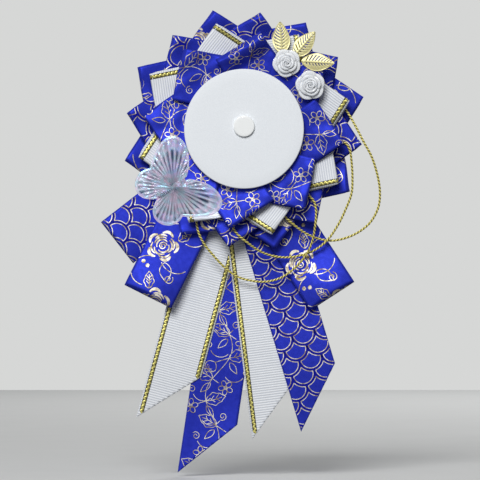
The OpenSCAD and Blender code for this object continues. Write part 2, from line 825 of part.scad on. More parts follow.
felt_disc();
badge_magnet();
pleat_base();
backing_felt();
for (i = [0 : pleat_count - 1]) {
    rose_pleat(i);
    wave_pleat(i);
    grosgrain_pleat(i);
    vine_pleat(i);
}
wave_bow_loop();
left_bow_loop();
right_bow_loop();
vine_tail();
left_grosgrain_tail();
middle_grosgrain_tail();
wave_tail();
outer_gold_cord();
middle_gold_cord();
lower_gold_cord();
butterfly();
upper_resin_rose();
lower_resin_rose();
top_leaf();
middle_leaf();
side_leaf();
pin_bar();
hinge_rivet();
pin_stem();
safety_catch();
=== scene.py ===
"""Looks of an award rosette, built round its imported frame.

Lengths are in millimetres, angles in degrees and points are (right, up, front), as in the part's
source, until `to_frame` turns them into the frame's metres, whose front is -Y.
"""

from __future__ import annotations

import logging
import math
from contextlib import contextmanager
from dataclasses import dataclass, field, replace
from enum import Enum
from typing import Callable, Iterator, Sequence

import bpy
import numpy as np
from bpy.types import ID, Material, Node, NodeSocket, NodeTree, Object
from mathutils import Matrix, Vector

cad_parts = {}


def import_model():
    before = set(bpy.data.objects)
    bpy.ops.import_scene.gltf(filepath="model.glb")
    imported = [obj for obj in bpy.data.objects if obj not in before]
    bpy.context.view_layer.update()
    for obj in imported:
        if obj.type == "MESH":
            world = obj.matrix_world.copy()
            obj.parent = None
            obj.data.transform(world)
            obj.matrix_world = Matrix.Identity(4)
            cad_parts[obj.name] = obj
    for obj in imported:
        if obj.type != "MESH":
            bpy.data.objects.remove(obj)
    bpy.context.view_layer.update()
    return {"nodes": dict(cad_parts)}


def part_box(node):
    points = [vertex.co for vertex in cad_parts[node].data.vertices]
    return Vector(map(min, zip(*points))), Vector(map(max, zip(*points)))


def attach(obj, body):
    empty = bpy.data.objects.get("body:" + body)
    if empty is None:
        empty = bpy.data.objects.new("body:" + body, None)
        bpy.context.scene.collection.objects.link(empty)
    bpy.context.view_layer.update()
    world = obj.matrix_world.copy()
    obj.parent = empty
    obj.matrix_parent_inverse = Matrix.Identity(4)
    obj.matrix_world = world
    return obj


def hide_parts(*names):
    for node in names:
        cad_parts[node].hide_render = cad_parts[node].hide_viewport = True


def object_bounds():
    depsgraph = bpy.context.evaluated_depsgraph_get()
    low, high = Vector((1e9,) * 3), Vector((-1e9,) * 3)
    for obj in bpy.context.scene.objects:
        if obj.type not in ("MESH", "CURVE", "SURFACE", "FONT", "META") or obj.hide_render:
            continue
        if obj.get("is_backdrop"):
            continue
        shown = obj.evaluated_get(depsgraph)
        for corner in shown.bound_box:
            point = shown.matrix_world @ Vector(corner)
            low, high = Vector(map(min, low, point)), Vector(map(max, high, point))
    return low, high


LOG = logging.getLogger("rosette")
MM = 0.001
BODY = "rosette"
UV_PER_MM = 0.01
SEED = 20

RIBBON_W = 25.0
SATIN_T = 0.25
GROSGRAIN_T = 0.35
RIB_PITCH = 1.15
RIB_H = 0.09
ROOT_SLACK = 0.1
PITCH = 45.0
RING_TURN = 15.5
HALF_TURN = RING_TURN - PITCH / 2
RUN_LEAN = 42.0
PLEAT_RUN = 28.0
PLEAT_TILT = 5.016
PLEAT_FOLD_H = 1.5
LOOP_FOLD_H = 1.2
FOLD_STEPS = 20
FOLD_STEEP = 0.9
FOLD_CREASE = 1.5
HUB_R = 20.0


def linear(code: str) -> tuple[float, float, float, float]:
    """Turns an sRGB hex colour into linear values.

    Args:
        code: Colour as "#rrggbb".

    Returns:
        Linear red, green and blue, and a full alpha.
    """
    channels = [int(code[i : i + 2], 16) / 255 for i in (1, 3, 5)]
    red, green, blue = (c / 12.92 if c <= 0.04045 else ((c + 0.055) / 1.055) ** 2.4 for c in channels)
    return red, green, blue, 1.0


def to_frame(points: np.ndarray) -> np.ndarray:
    """Turns points (right, up, front) in millimetres into the frame's metres.

    Args:
        points: Array whose last axis holds the three values.

    Returns:
        Array of the same shape.
    """
    points = np.asarray(points, float)
    return np.stack([points[..., 0], -points[..., 2], points[..., 1]], axis=-1) * MM


def eased(share: np.ndarray) -> np.ndarray:
    """Eases shares from 0 to 1 with level ends."""
    return (1 - np.cos(np.pi * np.clip(share, 0, 1))) / 2


def turned(points: np.ndarray, angle: float) -> np.ndarray:
    """Turns points about the front axis.

    Args:
        points: Array whose last axis starts with right and up.
        angle: Turn to the left in degrees.

    Returns:
        The turned points.
    """
    c, s = math.cos(math.radians(angle)), math.sin(math.radians(angle))
    made = np.array(points, float)
    made[..., 0] = c * points[..., 0] - s * points[..., 1]
    made[..., 1] = s * points[..., 0] + c * points[..., 1]
    return made


def polar(radius: float | np.ndarray, angle: np.ndarray) -> np.ndarray:
    """Points, right and up, at a radius and at angles in radians."""
    return np.stack([radius * np.cos(angle), radius * np.sin(angle)], axis=1)


def unit(vectors: np.ndarray) -> np.ndarray:
    """Brings the vectors on the last axis to a length of one."""
    return vectors / np.maximum(np.linalg.norm(vectors, axis=-1, keepdims=True), 1e-9)


def lengths_along(line: np.ndarray) -> np.ndarray:
    """Length of a line up to each of its points."""
    return np.concatenate([[0], np.cumsum(np.linalg.norm(np.diff(line, axis=0), axis=1))])


def back_of(node: str) -> float:
    """Level of a node's back in millimetres."""
    return -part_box(node)[1].y / MM


def front_of(node: str) -> float:
    """Level of a node's front in millimetres."""
    return -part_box(node)[0].y / MM


def middle_of(node: str) -> np.ndarray:
    """Middle of a node's box, right and up, in millimetres."""
    low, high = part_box(node)
    return np.array([low.x + high.x, low.z + high.z]) / 2 / MM


def add_node(
    tree: NodeTree, kind: str, inputs: dict[str | int, object] | None = None, **settings: object
) -> Node:
    """Adds a shader node with its settings and links.

    Args:
        tree: Node tree that gets the node.
        kind: Type name of the node.
        inputs: Values or output sockets by the name or number of the input.
        **settings: Properties of the node.

    Returns:
        The new node.
    """
    node = tree.nodes.new(kind)
    for name, value in settings.items():
        setattr(node, name, value)
    for key, value in (inputs or {}).items():
        if isinstance(value, NodeSocket):
            tree.links.new(value, node.inputs[key])
        else:
            node.inputs[key].default_value = value
    return node


class Grain(Enum):
    """What a finish's pattern follows."""

    OBJECT = "Object"
    RIBBON = "UV"


@dataclass(frozen=True)
class Finish:
    """A surface with a main colour, a second colour in its grain, and a bump.

    Attributes:
        name: Name of the material.
        colour: Main colour.
        second: Colour that the grain mixes in.
        grain_mm: Size of the grain.
        relief_mm: Depth of the bump.
        roughness: Lowest and highest roughness.
        metallic: Share of metal.
        grain: What the pattern follows.
        extra: Other constant values on the shader's sockets.
    """

    name: str
    colour: str
    second: str
    grain_mm: float
    relief_mm: float
    roughness: tuple[float, float]
    metallic: float = 0.0
    grain: Grain = Grain.OBJECT
    extra: dict[str, object] = field(default_factory=dict)

    def places(self, tree: NodeTree) -> NodeSocket:
        """Adds coordinates in millimetres.

        Args:
            tree: The material's node tree.

        Returns:
            The socket that carries them.
        """
        scale = 1 / UV_PER_MM if self.grain is Grain.RIBBON else 1 / MM
        source = add_node(tree, "ShaderNodeTexCoord")
        mapping = add_node(
            tree,
            "ShaderNodeMapping",
            {"Vector": source.outputs[self.grain.value], "Scale": (scale, scale, scale)},
        )
        return mapping.outputs["Vector"]

    def pattern(self, tree: NodeTree, places: NodeSocket) -> NodeSocket:
        """Adds the grain that mixes the colours and raises the surface.

        Args:
            tree: The material's node tree.
            places: Coordinates in millimetres.

        Returns:
            A socket with values from 0 to 1.
        """
        inputs = {"Vector": places, "Scale": 1 / self.grain_mm, "Detail": 3.0}
        return add_node(tree, "ShaderNodeTexNoise", inputs).outputs["Fac"]

    def patches(self, tree: NodeTree, places: NodeSocket, span: tuple[float, float]) -> NodeSocket:
        """Adds noise of the grain's size, sharpened into patches.

        Args:
            tree: The material's node tree.
            places: Coordinates in millimetres.
            span: Values of the noise that become 0 and 1.

        Returns:
            A socket with values from 0 to 1.
        """
        inputs = {"Value": Finish.pattern(self, tree, places), "From Min": span[0], "From Max": span[1]}
        return add_node(tree, "ShaderNodeMapRange", inputs).outputs["Result"]

    def tint(self, tree: NodeTree, socket: NodeSocket) -> None:
        """Sets the main colour on a socket."""
        socket.default_value = linear(self.colour)

    def build(self) -> Material:
        """Makes the material, or finds it if it is made already.

        Returns:
            The material.
        """
        made = bpy.data.materials.get(self.name)
        if made:
            return made
        made = bpy.data.materials.new(self.name)
        made.use_nodes = True
        tree = made.node_tree
        tree.nodes.clear()
        grain = self.pattern(tree, self.places(tree))
        mix = add_node(tree, "ShaderNodeMix", {0: grain}, data_type="RGBA")
        self.tint(tree, mix.inputs["A"])
        mix.inputs["B"].default_value = linear(self.second)
        low, high = self.roughness
        rough = add_node(tree, "ShaderNodeMapRange", {"Value": grain, "To Min": low, "To Max": high})
        relief = {"Height": grain, "Distance": self.relief_mm * MM, "Strength": 1.0}
        bump = add_node(tree, "ShaderNodeBump", relief)
        surface = {
            "Base Color": mix.outputs["Result"],
            "Roughness": rough.outputs["Result"],
            "Normal": bump.outputs["Normal"],
            "Metallic": self.metallic,
            **self.extra,
        }
        shader = add_node(tree, "ShaderNodeBsdfPrincipled", surface)
        add_node(tree, "ShaderNodeOutputMaterial", {"Surface": shader.outputs["BSDF"]})
        return made


@dataclass(frozen=True)
class ThreadFinish(Finish):
    """A woven finish whose threads run across or along the ribbon.

    Attributes:
        thread_mm: Spacing of the threads.
        across: Whether the threads run across the ribbon.
        strength: Share of the threads in the grain.
    """

    thread_mm: float = 0.5
    across: bool = False
    strength: float = 0.5

    def pattern(self, tree: NodeTree, places: NodeSocket) -> NodeSocket:
        """Adds threads over the slow change of colour.

        Args:
            tree: The material's node tree.
            places: Coordinates in millimetres.

        Returns:
            A socket with values from 0 to 1.
        """
        # A wave texture with a scale of 1 has its bands pi / 10 apart
        inputs = {
            "Vector": places,
            "Scale": math.pi / 10 / self.thread_mm,
            "Distortion": 0.4,
            "Detail Scale": 2.0,
        }
        wave = add_node(tree, "ShaderNodeTexWave", inputs, bands_direction="Y" if self.across else "X")
        shares = {0: self.strength, 2: super().pattern(tree, places), 3: wave.outputs["Fac"]}
        return add_node(tree, "ShaderNodeMix", shares).outputs[0]


@dataclass(frozen=True)
class FoilReflectionFinish(Finish):
    """Metal foil whose dim patches are painted reflection of dark surroundings."""

    def pattern(self, tree: NodeTree, places: NodeSocket) -> NodeSocket:
        """Sharpens the slow change of colour into the patches of painted reflection."""
        return self.patches(tree, places, (0.42, 0.62))


@dataclass(frozen=True)
class MarkedFinish(Finish):
    """A finish whose second colour lies where the piece's own attribute says.

    Attributes:
        mark: Name of the attribute, which goes from 0 to 1.
    """

    mark: str = ""

    def pattern(self, tree: NodeTree, places: NodeSocket) -> NodeSocket:
        """Reads the attribute."""
        return add_node(tree, "ShaderNodeAttribute", attribute_name=self.mark).outputs["Fac"]


@dataclass(frozen=True)
class PearlFinish(MarkedFinish):
    """A marked finish whose main colour shifts to another one in soft patches.

    Attributes:
        shift: The other colour.
    """

    shift: str = "#ffffff"

    def tint(self, tree: NodeTree, socket: NodeSocket) -> None:
        """Mixes the two colours by soft patches.

        Args:
            tree: The material's node tree.
            socket: The socket that gets the colour.
        """
        patches = self.patches(tree, self.places(tree), (0.4, 0.6))
        mix = add_node(tree, "ShaderNodeMix", {0: patches}, data_type="RGBA")
        mix.inputs["A"].default_value = linear(self.colour)
        mix.inputs["B"].default_value = linear(self.shift)
        tree.links.new(mix.outputs["Result"], socket)


# Polyester satin: long floats of thread lie flat, so it shines softly along the ribbon. The threads are a
# tenth of a millimetre apart, and drawn at five times that to show.
BLUE_SATIN = ThreadFinish(
    name="blue_satin_weave",
    colour="#3440c4",
    second="#1e2790",
    grain_mm=2.2,
    relief_mm=0.03,
    roughness=(0.44, 0.58),
    metallic=0.4,
    grain=Grain.RIBBON,
    thread_mm=0.5,
    strength=0.3,
    extra={"Specular IOR Level": 0.3, "Specular Tint": linear("#3d52ff")},
)
# Hot-stamped foil: thin metal, a little crazed by the weave under it. Its dim brownish patches are painted
# reflection of dark surroundings.
GOLD_FOIL = FoilReflectionFinish(
    name="gold_foil_print",
    colour="#e8e1d0",
    second="#98855a",
    grain_mm=2.6,
    relief_mm=0.03,
    roughness=(0.5, 0.62),
    metallic=0.5,
)
# Painted shade: darker blue laid along the foil lines for the shadow at their edges, and also in the gaps
# between the wave scales' double lines.
PAINTED_SHADE_EDGE = Finish(
    name="painted_shade_satin_edge",
    colour="#1016a0",
    second="#0c1084",
    grain_mm=2.0,
    relief_mm=0.01,
    roughness=(0.5, 0.6),
    extra={"Specular IOR Level": 0.1},
)
# Grosgrain: thick threads across the ribbon make its ribs, which the mesh has. Grey bands at the ribs' pitch
# are painted shade between the ribs.
WHITE_GROSGRAIN = ThreadFinish(
    name="white_grosgrain_weave",
    colour="#f2f4f7",
    second="#c2c8d1",
    grain_mm=5.0,
    relief_mm=-0.05,
    roughness=(0.5, 0.75),
    grain=Grain.RIBBON,
    thread_mm=RIB_PITCH,
    across=True,
    strength=0.75,
    extra={"Sheen Weight": 0.15},
)
# Metallised yarn woven in along the edges of the grosgrain.
GOLD_YARN = Finish(
    name="gold_lame_yarn",
    colour="#d0c97c",
    second="#857d38",
    grain_mm=0.8,
    relief_mm=0.03,
    roughness=(0.3, 0.5),
    metallic=0.8,
)
# Core threads that show between the turns of metallised yarn.
YARN_BED = Finish(
    name="olive_core_thread",
    colour="#38340f",
    second="#171505",
    grain_mm=0.5,
    relief_mm=0.03,
    roughness=(0.6, 0.8),
)
# Gold yarn in two strands. Its bright yellow is partly its own colour and partly painted shine, as it has
# almost no metal; the grooves between the strands are painted dark, as shade.
GOLD_CORD = MarkedFinish(
    name="twisted_gold_cord",
    colour="#fff07c",
    second="#140e02",
    grain_mm=0.4,
    relief_mm=0.01,
    roughness=(0.3, 0.6),
    metallic=0.05,
    mark="groove",
)
# Pressed felt: matted fibres with no direction, matt all over.
WHITE_FELT = Finish(
    name="white_pressed_felt",
    colour="#e3e8ed",
    second="#f0f3f6",
    grain_mm=0.55,
    relief_mm=0.1,
    roughness=(0.88, 0.97),
    extra={"Sheen Weight": 0.25, "Sheen Roughness": 0.6},
)
# Steel-backed magnet, sprayed with white enamel.
WHITE_ENAMEL = Finish(
    name="white_enamel_spray",
    colour="#f3f5f4",
    second="#eceeee",
    grain_mm=2.5,
    relief_mm=0.01,
    roughness=(0.3, 0.42),
    extra={"Coat Weight": 0.3},
)
# Cast polyester resin: milky and smooth, light goes a little way in.
WHITE_RESIN = Finish(
    name="white_cast_resin",
    colour="#eceef1",
    second="#dde1e6",
    grain_mm=3.0,
    relief_mm=0.02,
    roughness=(0.36, 0.5),
    extra={
        "Subsurface Weight": 0.4,
        "Subsurface Scale": 0.0012,
        "Subsurface Radius": (1.0, 0.95, 0.9),
        "Coat Weight": 0.1,
    },
)
# Stamped brass sheet, plated with pale gold and brightened on its edges.
PALE_GOLD = Finish(
    name="pale_gold_plate",
    colour="#f0eab6",
    second="#dfd594",
    grain_mm=1.2,
    relief_mm=0.02,
    roughness=(0.4, 0.52),
    metallic=0.4,
)
# Pressed acrylic with a vapour-laid pearl coat that splits light into pastel colours. Its pressed cells are
# thin and show the satin behind them, and the ridges between them look white.
CLEAR_ACRYLIC = PearlFinish(
    name="pearl_coated_acrylic",
    colour="#ead7e8",
    second="#081548",
    grain_mm=2.2,
    relief_mm=0.02,
    roughness=(0.12, 0.2),
    extra={
        "Transmission Weight": 0.6,
        "IOR": 1.46,
        "Thin Film Thickness": 390.0,
        "Thin Film IOR": 1.54,
        "Specular IOR Level": 0.3,
    },
    mark="valley",
    shift="#cadfe8",
)
# Nickel-plated spring steel, drawn and tumbled.
NICKEL = Finish(
    name="nickel_plated_steel",
    colour="#c4c6ca",
    second="#b2b5ba",
    grain_mm=0.9,
    relief_mm=0.003,
    roughness=(0.24, 0.32),
    metallic=1.0,
)


def select_only(*pieces: Object) -> None:
    """Selects pieces and nothing else, with the first one active.

    Args:
        *pieces: The pieces.
    """
    bpy.ops.object.select_all(action="DESELECT")
    for piece in pieces:
        piece.select_set(True)
    bpy.context.view_layer.objects.active = pieces[0]


def apply_modifier(piece: Object, kind: str, **settings: object) -> None:
    """Adds a modifier to a piece and applies it.

    Args:
        piece: Mesh object.
        kind: Type name of the modifier.
        **settings: Properties of the modifier.
    """
    modifier = piece.modifiers.new(kind, kind)
    for name, value in settings.items():
        setattr(modifier, name, value)
    select_only(piece)
    bpy.ops.object.modifier_apply(modifier=modifier.name)


@contextmanager
def editing(piece: Object, chosen: Sequence[bool] | None = None) -> Iterator[None]:
    """Opens a piece in edit mode with the chosen faces selected, and closes it again.

    Args:
        piece: Mesh object.
        chosen: Whether each face is chosen; without it, all are.

    Yields:
        Nothing, while the piece is open.
    """
    select_only(piece)
    bpy.context.tool_settings.mesh_select_mode = (False, False, True)
    bpy.ops.object.mode_set(mode="EDIT")
    bpy.ops.mesh.select_all(action="SELECT" if chosen is None else "DESELECT")
    if chosen is not None:
        bpy.ops.object.mode_set(mode="OBJECT")
        piece.data.polygons.foreach_set("select", np.asarray(chosen, bool))
        bpy.ops.object.mode_set(mode="EDIT")
    yield
    bpy.ops.object.mode_set(mode="OBJECT")


def link(name: str, data: ID) -> Object:
    """Makes an object and links it to the scene.

    Args:
        name: Name of the object.
        data: Its mesh, curve, lamp or camera.

    Returns:
        The object.
    """
    made = bpy.data.objects.new(name, data)
    bpy.context.scene.collection.objects.link(made)
    return made


def join(name: str, parts: Sequence[Object]) -> Object:
    """Joins parts into one piece, which stays selected.

    Args:
        name: Name of the piece.
        parts: The parts.

    Returns:
        The piece.
    """
    piece = parts[0]
    select_only(*parts)
    bpy.ops.object.join()
    piece.name = piece.data.name = name
    return piece


def dress(piece: Object, finish: Finish) -> None:
    """Gives a piece one finish all over."""
    piece.data.materials.clear()
    piece.data.materials.append(finish.build())


def points_of(piece: Object) -> np.ndarray:
    """Points of a piece's mesh."""
    return np.array([vertex.co for vertex in piece.data.vertices])


def move_points(piece: Object, places: np.ndarray) -> None:
    """Moves a piece's points to places in the frame's metres."""
    piece.data.vertices.foreach_set("co", places.astype(np.float32).ravel())
    piece.data.update()


def add_primitive(operator: Callable[..., set[str]], **sizes: object) -> Object:
    """Adds a primitive with nothing else selected.

    Args:
        operator: Operator that adds it.
        **sizes: The operator's values.

    Returns:
        The new object.
    """
    bpy.ops.object.select_all(action="DESELECT")
    operator(**sizes)
    return bpy.context.object


def flat_grid(columns: int, rows: int) -> tuple[Object, np.ndarray, np.ndarray]:
    """Adds a flat grid that is to be shaped.

    Args:
        columns: Number of faces across.
        rows: Number of faces along.

    Returns:
        The grid, and its points' places across from -1 to 1 and along from 0 to 1.
    """
    grid = add_primitive(bpy.ops.mesh.primitive_grid_add, x_subdivisions=columns, y_subdivisions=rows, size=2)
    flat = points_of(grid)
    return grid, flat[:, 0], (flat[:, 1] + 1) / 2


def mesh_piece(
    name: str,
    points: np.ndarray,
    faces: np.ndarray | list[list[int]],
    finishes: Sequence[Finish],
    uv: np.ndarray | None = None,
) -> Object:
    """Makes a smooth mesh object from points in millimetres.

    Args:
        name: Name of the piece.
        points: Points (right, up, front).
        faces: Corners of each face.
        finishes: Finishes, in the order of the material slots.
        uv: Place of each point on the flat ribbon, if it has one.

    Returns:
        The object, linked to the scene.
    """
    mesh = bpy.data.meshes.new(name)
    mesh.from_pydata(to_frame(points), [], faces)
    for finish in finishes:
        mesh.materials.append(finish.build())
    if uv is not None:
        corners = np.zeros(len(mesh.loops), int)
        mesh.loops.foreach_get("vertex_index", corners)
        mesh.uv_layers.new(name="ribbon").data.foreach_set("uv", uv[corners].ravel())
    mesh.shade_smooth()
    mesh.update()
    return link(name, mesh)


def mark_points(piece: Object, name: str, values: np.ndarray) -> None:
    """Writes where a finish shows its second colour.

    Args:
        piece: The piece.
        name: Name of the attribute.
        values: A value from 0 to 1 for each point.
    """
    attribute = piece.data.attributes.new(name, "FLOAT", "POINT")
    attribute.data.foreach_set("value", values.astype(np.float32).ravel())


def adopt(piece: Object, slot: str, *nodes: str) -> Object:
    """Makes a finished piece ride on the rosette and stand for its CAD nodes.

    Args:
        piece: The finished piece.
        slot: The record's material slot; not used.
        *nodes: CAD nodes that it stands for.

    Returns:
        The piece.
    """
    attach(piece, BODY)
    if nodes:
        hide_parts(*nodes)
    LOG.info("%s: %d faces", piece.name, len(piece.data.polygons))
    return piece


@dataclass
class Stroke:
    """A printed or stitched line on a ribbon.

    Attributes:
        line: Points of the line, across and along the ribbon.
        width: Width of the line, or its width at each point.
    """

    line: np.ndarray
    width: float | np.ndarray


def grid_faces(rows: int, columns: int) -> np.ndarray:
    """Faces of a grid of points, row by row.

    Args:
        rows: Number of rows of points.
        columns: Number of points in a row.

    Returns:
        The four corners of each face.
    """
    index = np.arange(rows * columns).reshape(rows, columns)
    corners = [index[:-1, :-1], index[1:, :-1], index[1:, 1:], index[:-1, 1:]]
    return np.stack(corners, axis=-1).reshape(-1, 4)


@dataclass
class RibbonSurface:
    """Middle surface of a length of ribbon; its outer face looks along the product of along and across.

    Attributes:
        along: Flat places along the ribbon.
        across: Flat places across the ribbon.
        points: Points by place along and across.
        thickness: Thickness of the ribbon.
        kept: Says for places across, places along and points what is part of the ribbon.
    """

    along: np.ndarray
    across: np.ndarray
    points: np.ndarray
    thickness: float
    kept: Callable[[np.ndarray, np.ndarray, np.ndarray], np.ndarray]

    def __post_init__(self) -> None:
        """Works out the normals."""
        steps = [np.gradient(self.points, axis=axis) for axis in (0, 1)]
        self.normals = unit(np.cross(*steps))

    def rib(self, pitch: float, depth: float) -> None:
        """Raises ribs across the ribbon.

        Args:
            pitch: Spacing of the ribs.
            depth: Height of the ribs.
        """
        height = depth * (0.5 + 0.5 * np.cos(2 * np.pi * self.along / pitch))
        self.points = self.points + height[:, None, None] * self.normals

    def at(self, across: np.ndarray, along: np.ndarray, lift: np.ndarray) -> np.ndarray:
        """Finds points over flat places of the ribbon.

        Args:
            across: Places across the ribbon.
            along: Places along the ribbon.
            lift: Height over the outer face.

        Returns:
            The points.
        """
        i = np.interp(along, self.along, np.arange(len(self.along)))
        j = np.interp(across, self.across, np.arange(len(self.across)))
        i0 = np.minimum(i.astype(int), len(self.along) - 2)
        j0 = np.minimum(j.astype(int), len(self.across) - 2)
        fi, fj = (i - i0)[:, None], (j - j0)[:, None]

        def between(grid: np.ndarray) -> np.ndarray:
            """Mixes the four grid values round each place.

            Args:
                grid: Values by place along and across.

            Returns:
                The mixed values.
            """
            near = grid[i0, j0] * (1 - fi) + grid[i0 + 1, j0] * fi
            far = grid[i0, j0 + 1] * (1 - fi) + grid[i0 + 1, j0 + 1] * fi
            return near * (1 - fj) + far * fj

        return between(self.points) + (lift + self.thickness / 2)[:, None] * between(self.normals)

    def cloth(self, name: str, finish: Finish, cut: tuple[np.ndarray, np.ndarray] | None = None) -> Object:
        """Makes the ribbon's cloth, with its thickness.

        Args:
            name: Name of the piece.
            finish: Finish of the ribbon.
            cut: A point on the end cut and the cut's outward direction, if the end is cut.

        Returns:
            The piece.
        """
        rows, columns = self.points.shape[:2]
        flat = np.stack(np.meshgrid(self.across, self.along), axis=-1).reshape(-1, 2)
        points = self.points.reshape(-1, 3)
        faces = grid_faces(rows, columns)
        inside = self.kept(flat[:, 0], flat[:, 1], points)
        if cut is None:
            faces = faces[inside[faces].all(axis=1)]
        used, corners = np.unique(faces, return_inverse=True)
        piece = mesh_piece(name, points[used], corners.reshape(-1, 4), [finish], flat[used] * UV_PER_MM)
        if cut is not None:
            self.cut_end(piece, *cut)
        apply_modifier(piece, "SOLIDIFY", thickness=self.thickness * MM, offset=0.0, use_even_offset=True)
        return piece

    @staticmethod
    def cut_end(piece: Object, point: np.ndarray, outward: np.ndarray) -> None:
        """Cuts the end off a ribbon.

        Args:
            piece: The ribbon.
            point: A point on the cut.
            outward: Direction of what is cut away.
        """
        normal = to_frame(unit(outward)) / MM
        with editing(piece):
            bpy.ops.mesh.bisect(plane_co=tuple(to_frame(point)), plane_no=tuple(normal), clear_outer=True)


# Strokes keep off the ribbon's edges; foil lies over its dark edges of painted shade, and yarn over its bed
# and the ribs
BARE_EDGE = 0.05
FOIL_LIFT = 0.06
SHADE_EDGE_W = 0.24
YARN_LIFT = 0.13
YARN_CROWN = 0.14
BED_LIFT = 0.1
STROKE_STEP = 0.4
ARC_END_W = 0.45


def stroke_mesh(
    surface: RibbonSurface, strokes: Sequence[Stroke], lift: float, crown: float
) -> tuple[np.ndarray, np.ndarray]:
    """Lays strokes on a ribbon as thin strips.

    Args:
        surface: The ribbon.
        strokes: Lines on it.
        lift: Height of the strips over the ribbon.
        crown: Height of a strip's middle over its edges.

    Returns:
        Points and four-cornered faces.
    """
    sides = (-0.5, 0.0, 0.5) if crown else (-0.5, 0.5)
    heights = np.array([lift, lift + crown, lift] if crown else [lift, lift])
    rails, starts, count = [], [], 0
    for stroke in strokes:
        heading = unit(np.gradient(stroke.line, axis=0))
        aside = np.stack([heading[:, 1], -heading[:, 0]], axis=1)
        reach = np.broadcast_to(stroke.width, len(stroke.line))[:, None] * aside
        rail = np.stack([stroke.line + side * reach for side in sides], axis=1)
        rails.append(rail)
        starts.append(count + np.arange(len(rail) - 1))
        count += len(rail)
    flat = np.concatenate(rails)
    begin = np.concatenate(starts)
    across, along = flat[..., 0].ravel(), flat[..., 1].ravel()
    points = surface.at(across, along, np.tile(heights, len(flat)))
    inside = surface.kept(across, along, points)
    for places, end in ((across, RIBBON_W), (along, surface.along[-1])):
        inside &= (places > BARE_EDGE) & (places < end - BARE_EDGE)
    whole = inside.reshape(len(flat), -1).all(axis=1)
    begin = begin[whole[begin] & whole[begin + 1]]
    width = len(sides)
    faces = []
    for k in range(width - 1):
        near, far = begin * width + k, (begin + 1) * width + k
        faces.append(np.stack([near, near + 1, far + 1, far], axis=1))
    if lift < 0:
        faces = [corners[:, ::-1] for corners in faces]
    used, corners = np.unique(np.concatenate(faces), return_inverse=True)
    return points[used], corners.reshape(-1, 4)


Layer = tuple[Finish, float, float, Sequence[tuple[RibbonSurface, Sequence[Stroke]]]]


def strokes_piece(name: str, layers: Sequence[Layer]) -> Object:
    """Makes one piece of the strokes on one or more ribbons.

    Args:
        name: Name of the piece.
        layers: For each finish its lift, its crown, and the ribbons with their strokes.

    Returns:
        The piece.
    """
    points, faces, slots, count = [], [], [], 0
    for slot, (_, lift, crown, ribbons) in enumerate(layers):
        for surface, strokes in ribbons:
            more, corners = stroke_mesh(surface, strokes, lift, crown)
            points.append(more)
            faces.append(corners + count)
            slots.append(np.full(len(corners), slot))
            count += len(more)
    piece = mesh_piece(name, np.concatenate(points), np.concatenate(faces), [layer[0] for layer in layers])
    piece.data.polygons.foreach_set("material_index", np.concatenate(slots))
    return piece


def arc(
    centre: Sequence[float], radius: float, start: float, end: float, width: float, swell: float = 0.0
) -> Stroke:
    """Draws an arc.

    Args:
        centre: Middle of the arc, across and along.
        radius: Radius at its ends.
        start: Angle of its start in degrees.
        end: Angle of its end.
        width: Width of the line, or of a swelling arc's middle.
        swell: How far the middle stands out from the radius.

    Returns:
        The stroke.
    """
    turn = math.radians(end - start)
    steps = max(4, int(abs(turn) * radius / STROKE_STEP))
    share = np.linspace(0, 1, steps + 1)
    angle = np.radians(start + (end - start) * share)
    bulge = np.sin(np.pi * share)
    line = np.array(centre) + polar(radius + swell * bulge, angle)
    return Stroke(line, width * (ARC_END_W + (1 - ARC_END_W) * bulge) if swell else width)


def spiral(
    centre: Sequence[float], inner: float, outer: float, turns: float, start: float, width: float
) -> Stroke:
    """Draws a spiral from its inner to its outer radius.

    Args:
        centre: Middle of the spiral.
        inner: Radius at its start.
        outer: Radius at its end.
        turns: Number of turns.
        start: Angle of its start in degrees.
        width: Width of the line.

    Returns:
        The stroke.
    """
    share = np.linspace(0, 1, int(abs(turns) * math.pi * (inner + outer) / STROKE_STEP) + 4)
    angle = np.radians(start) + 2 * np.pi * turns * share
    return Stroke(np.array(centre) + polar(inner + (outer - inner) * share, angle), width)


def leaf_lines(
    base: Sequence[float], angle: float, length: float, half_w: float, width: float, veins: int = 3
) -> list[Stroke]:
    """Draws a leaf with a wavy edge, a midrib and slanted veins.

    Args:
        base: Foot of the leaf.
        angle: Direction of the leaf in degrees.
        length: Length of the leaf.
        half_w: Half its width.
        width: Width of the lines.
        veins: Pairs of veins; a leaf without them has no midrib.

    Returns:
        The strokes.
    """
    step, foot_wide, wave_h, midrib, midrib_bow, vein_len = 0.35, 0.8, 0.09, 0.8, 0.12, 0.6
    first_vein, vein_span = 0.26, 0.48
    share = np.linspace(0, 1, int(length / step) + 2)
    waves = 1 + wave_h * np.sin(6 * np.pi * share) * (veins > 0)
    bulge = half_w * np.sin(np.pi * share**foot_wide) * waves
    lines = [np.stack([length * share, side * bulge], axis=1) for side in (-1, 1)]
    if veins:
        bow = midrib_bow * half_w * np.sin(np.pi * share)
        lines.append(np.stack([length * midrib * share, bow], axis=1))
    for i in range(veins):
        place = first_vein + vein_span * i / veins
        out = np.linspace(0, vein_len, 5)
        spread = out * half_w * np.sin(np.pi * place**foot_wide)
        lines += [np.stack([length * place + out * half_w, side * spread], axis=1) for side in (-1, 1)]
    return [Stroke(np.array(base) + turned(line, angle), width) for line in lines]


def flower_lines(centre: Sequence[float], radius: float, turn: float, width: float) -> list[Stroke]:
    """Draws an open flower of looped petals round a small eye.

    Args:
        centre: Middle of the flower.
        radius: Reach of its petals.
        turn: Turn of the flower in degrees.
        width: Width of the lines.

    Returns:
        The strokes.
    """
    petals, eye, loop_at, loop_len, loop_w = 5, 0.12, 0.6, 0.4, 0.3
    angle = np.linspace(0, 2 * np.pi, 22)
    loop = radius * np.stack([loop_at + loop_len * np.cos(angle), loop_w * np.sin(angle)], axis=1)
    rims = [Stroke(np.array(centre) + turned(loop, turn + 360 * i / petals), width) for i in range(petals)]
    return [*rims, arc(centre, radius * eye, 0, 360, width)]


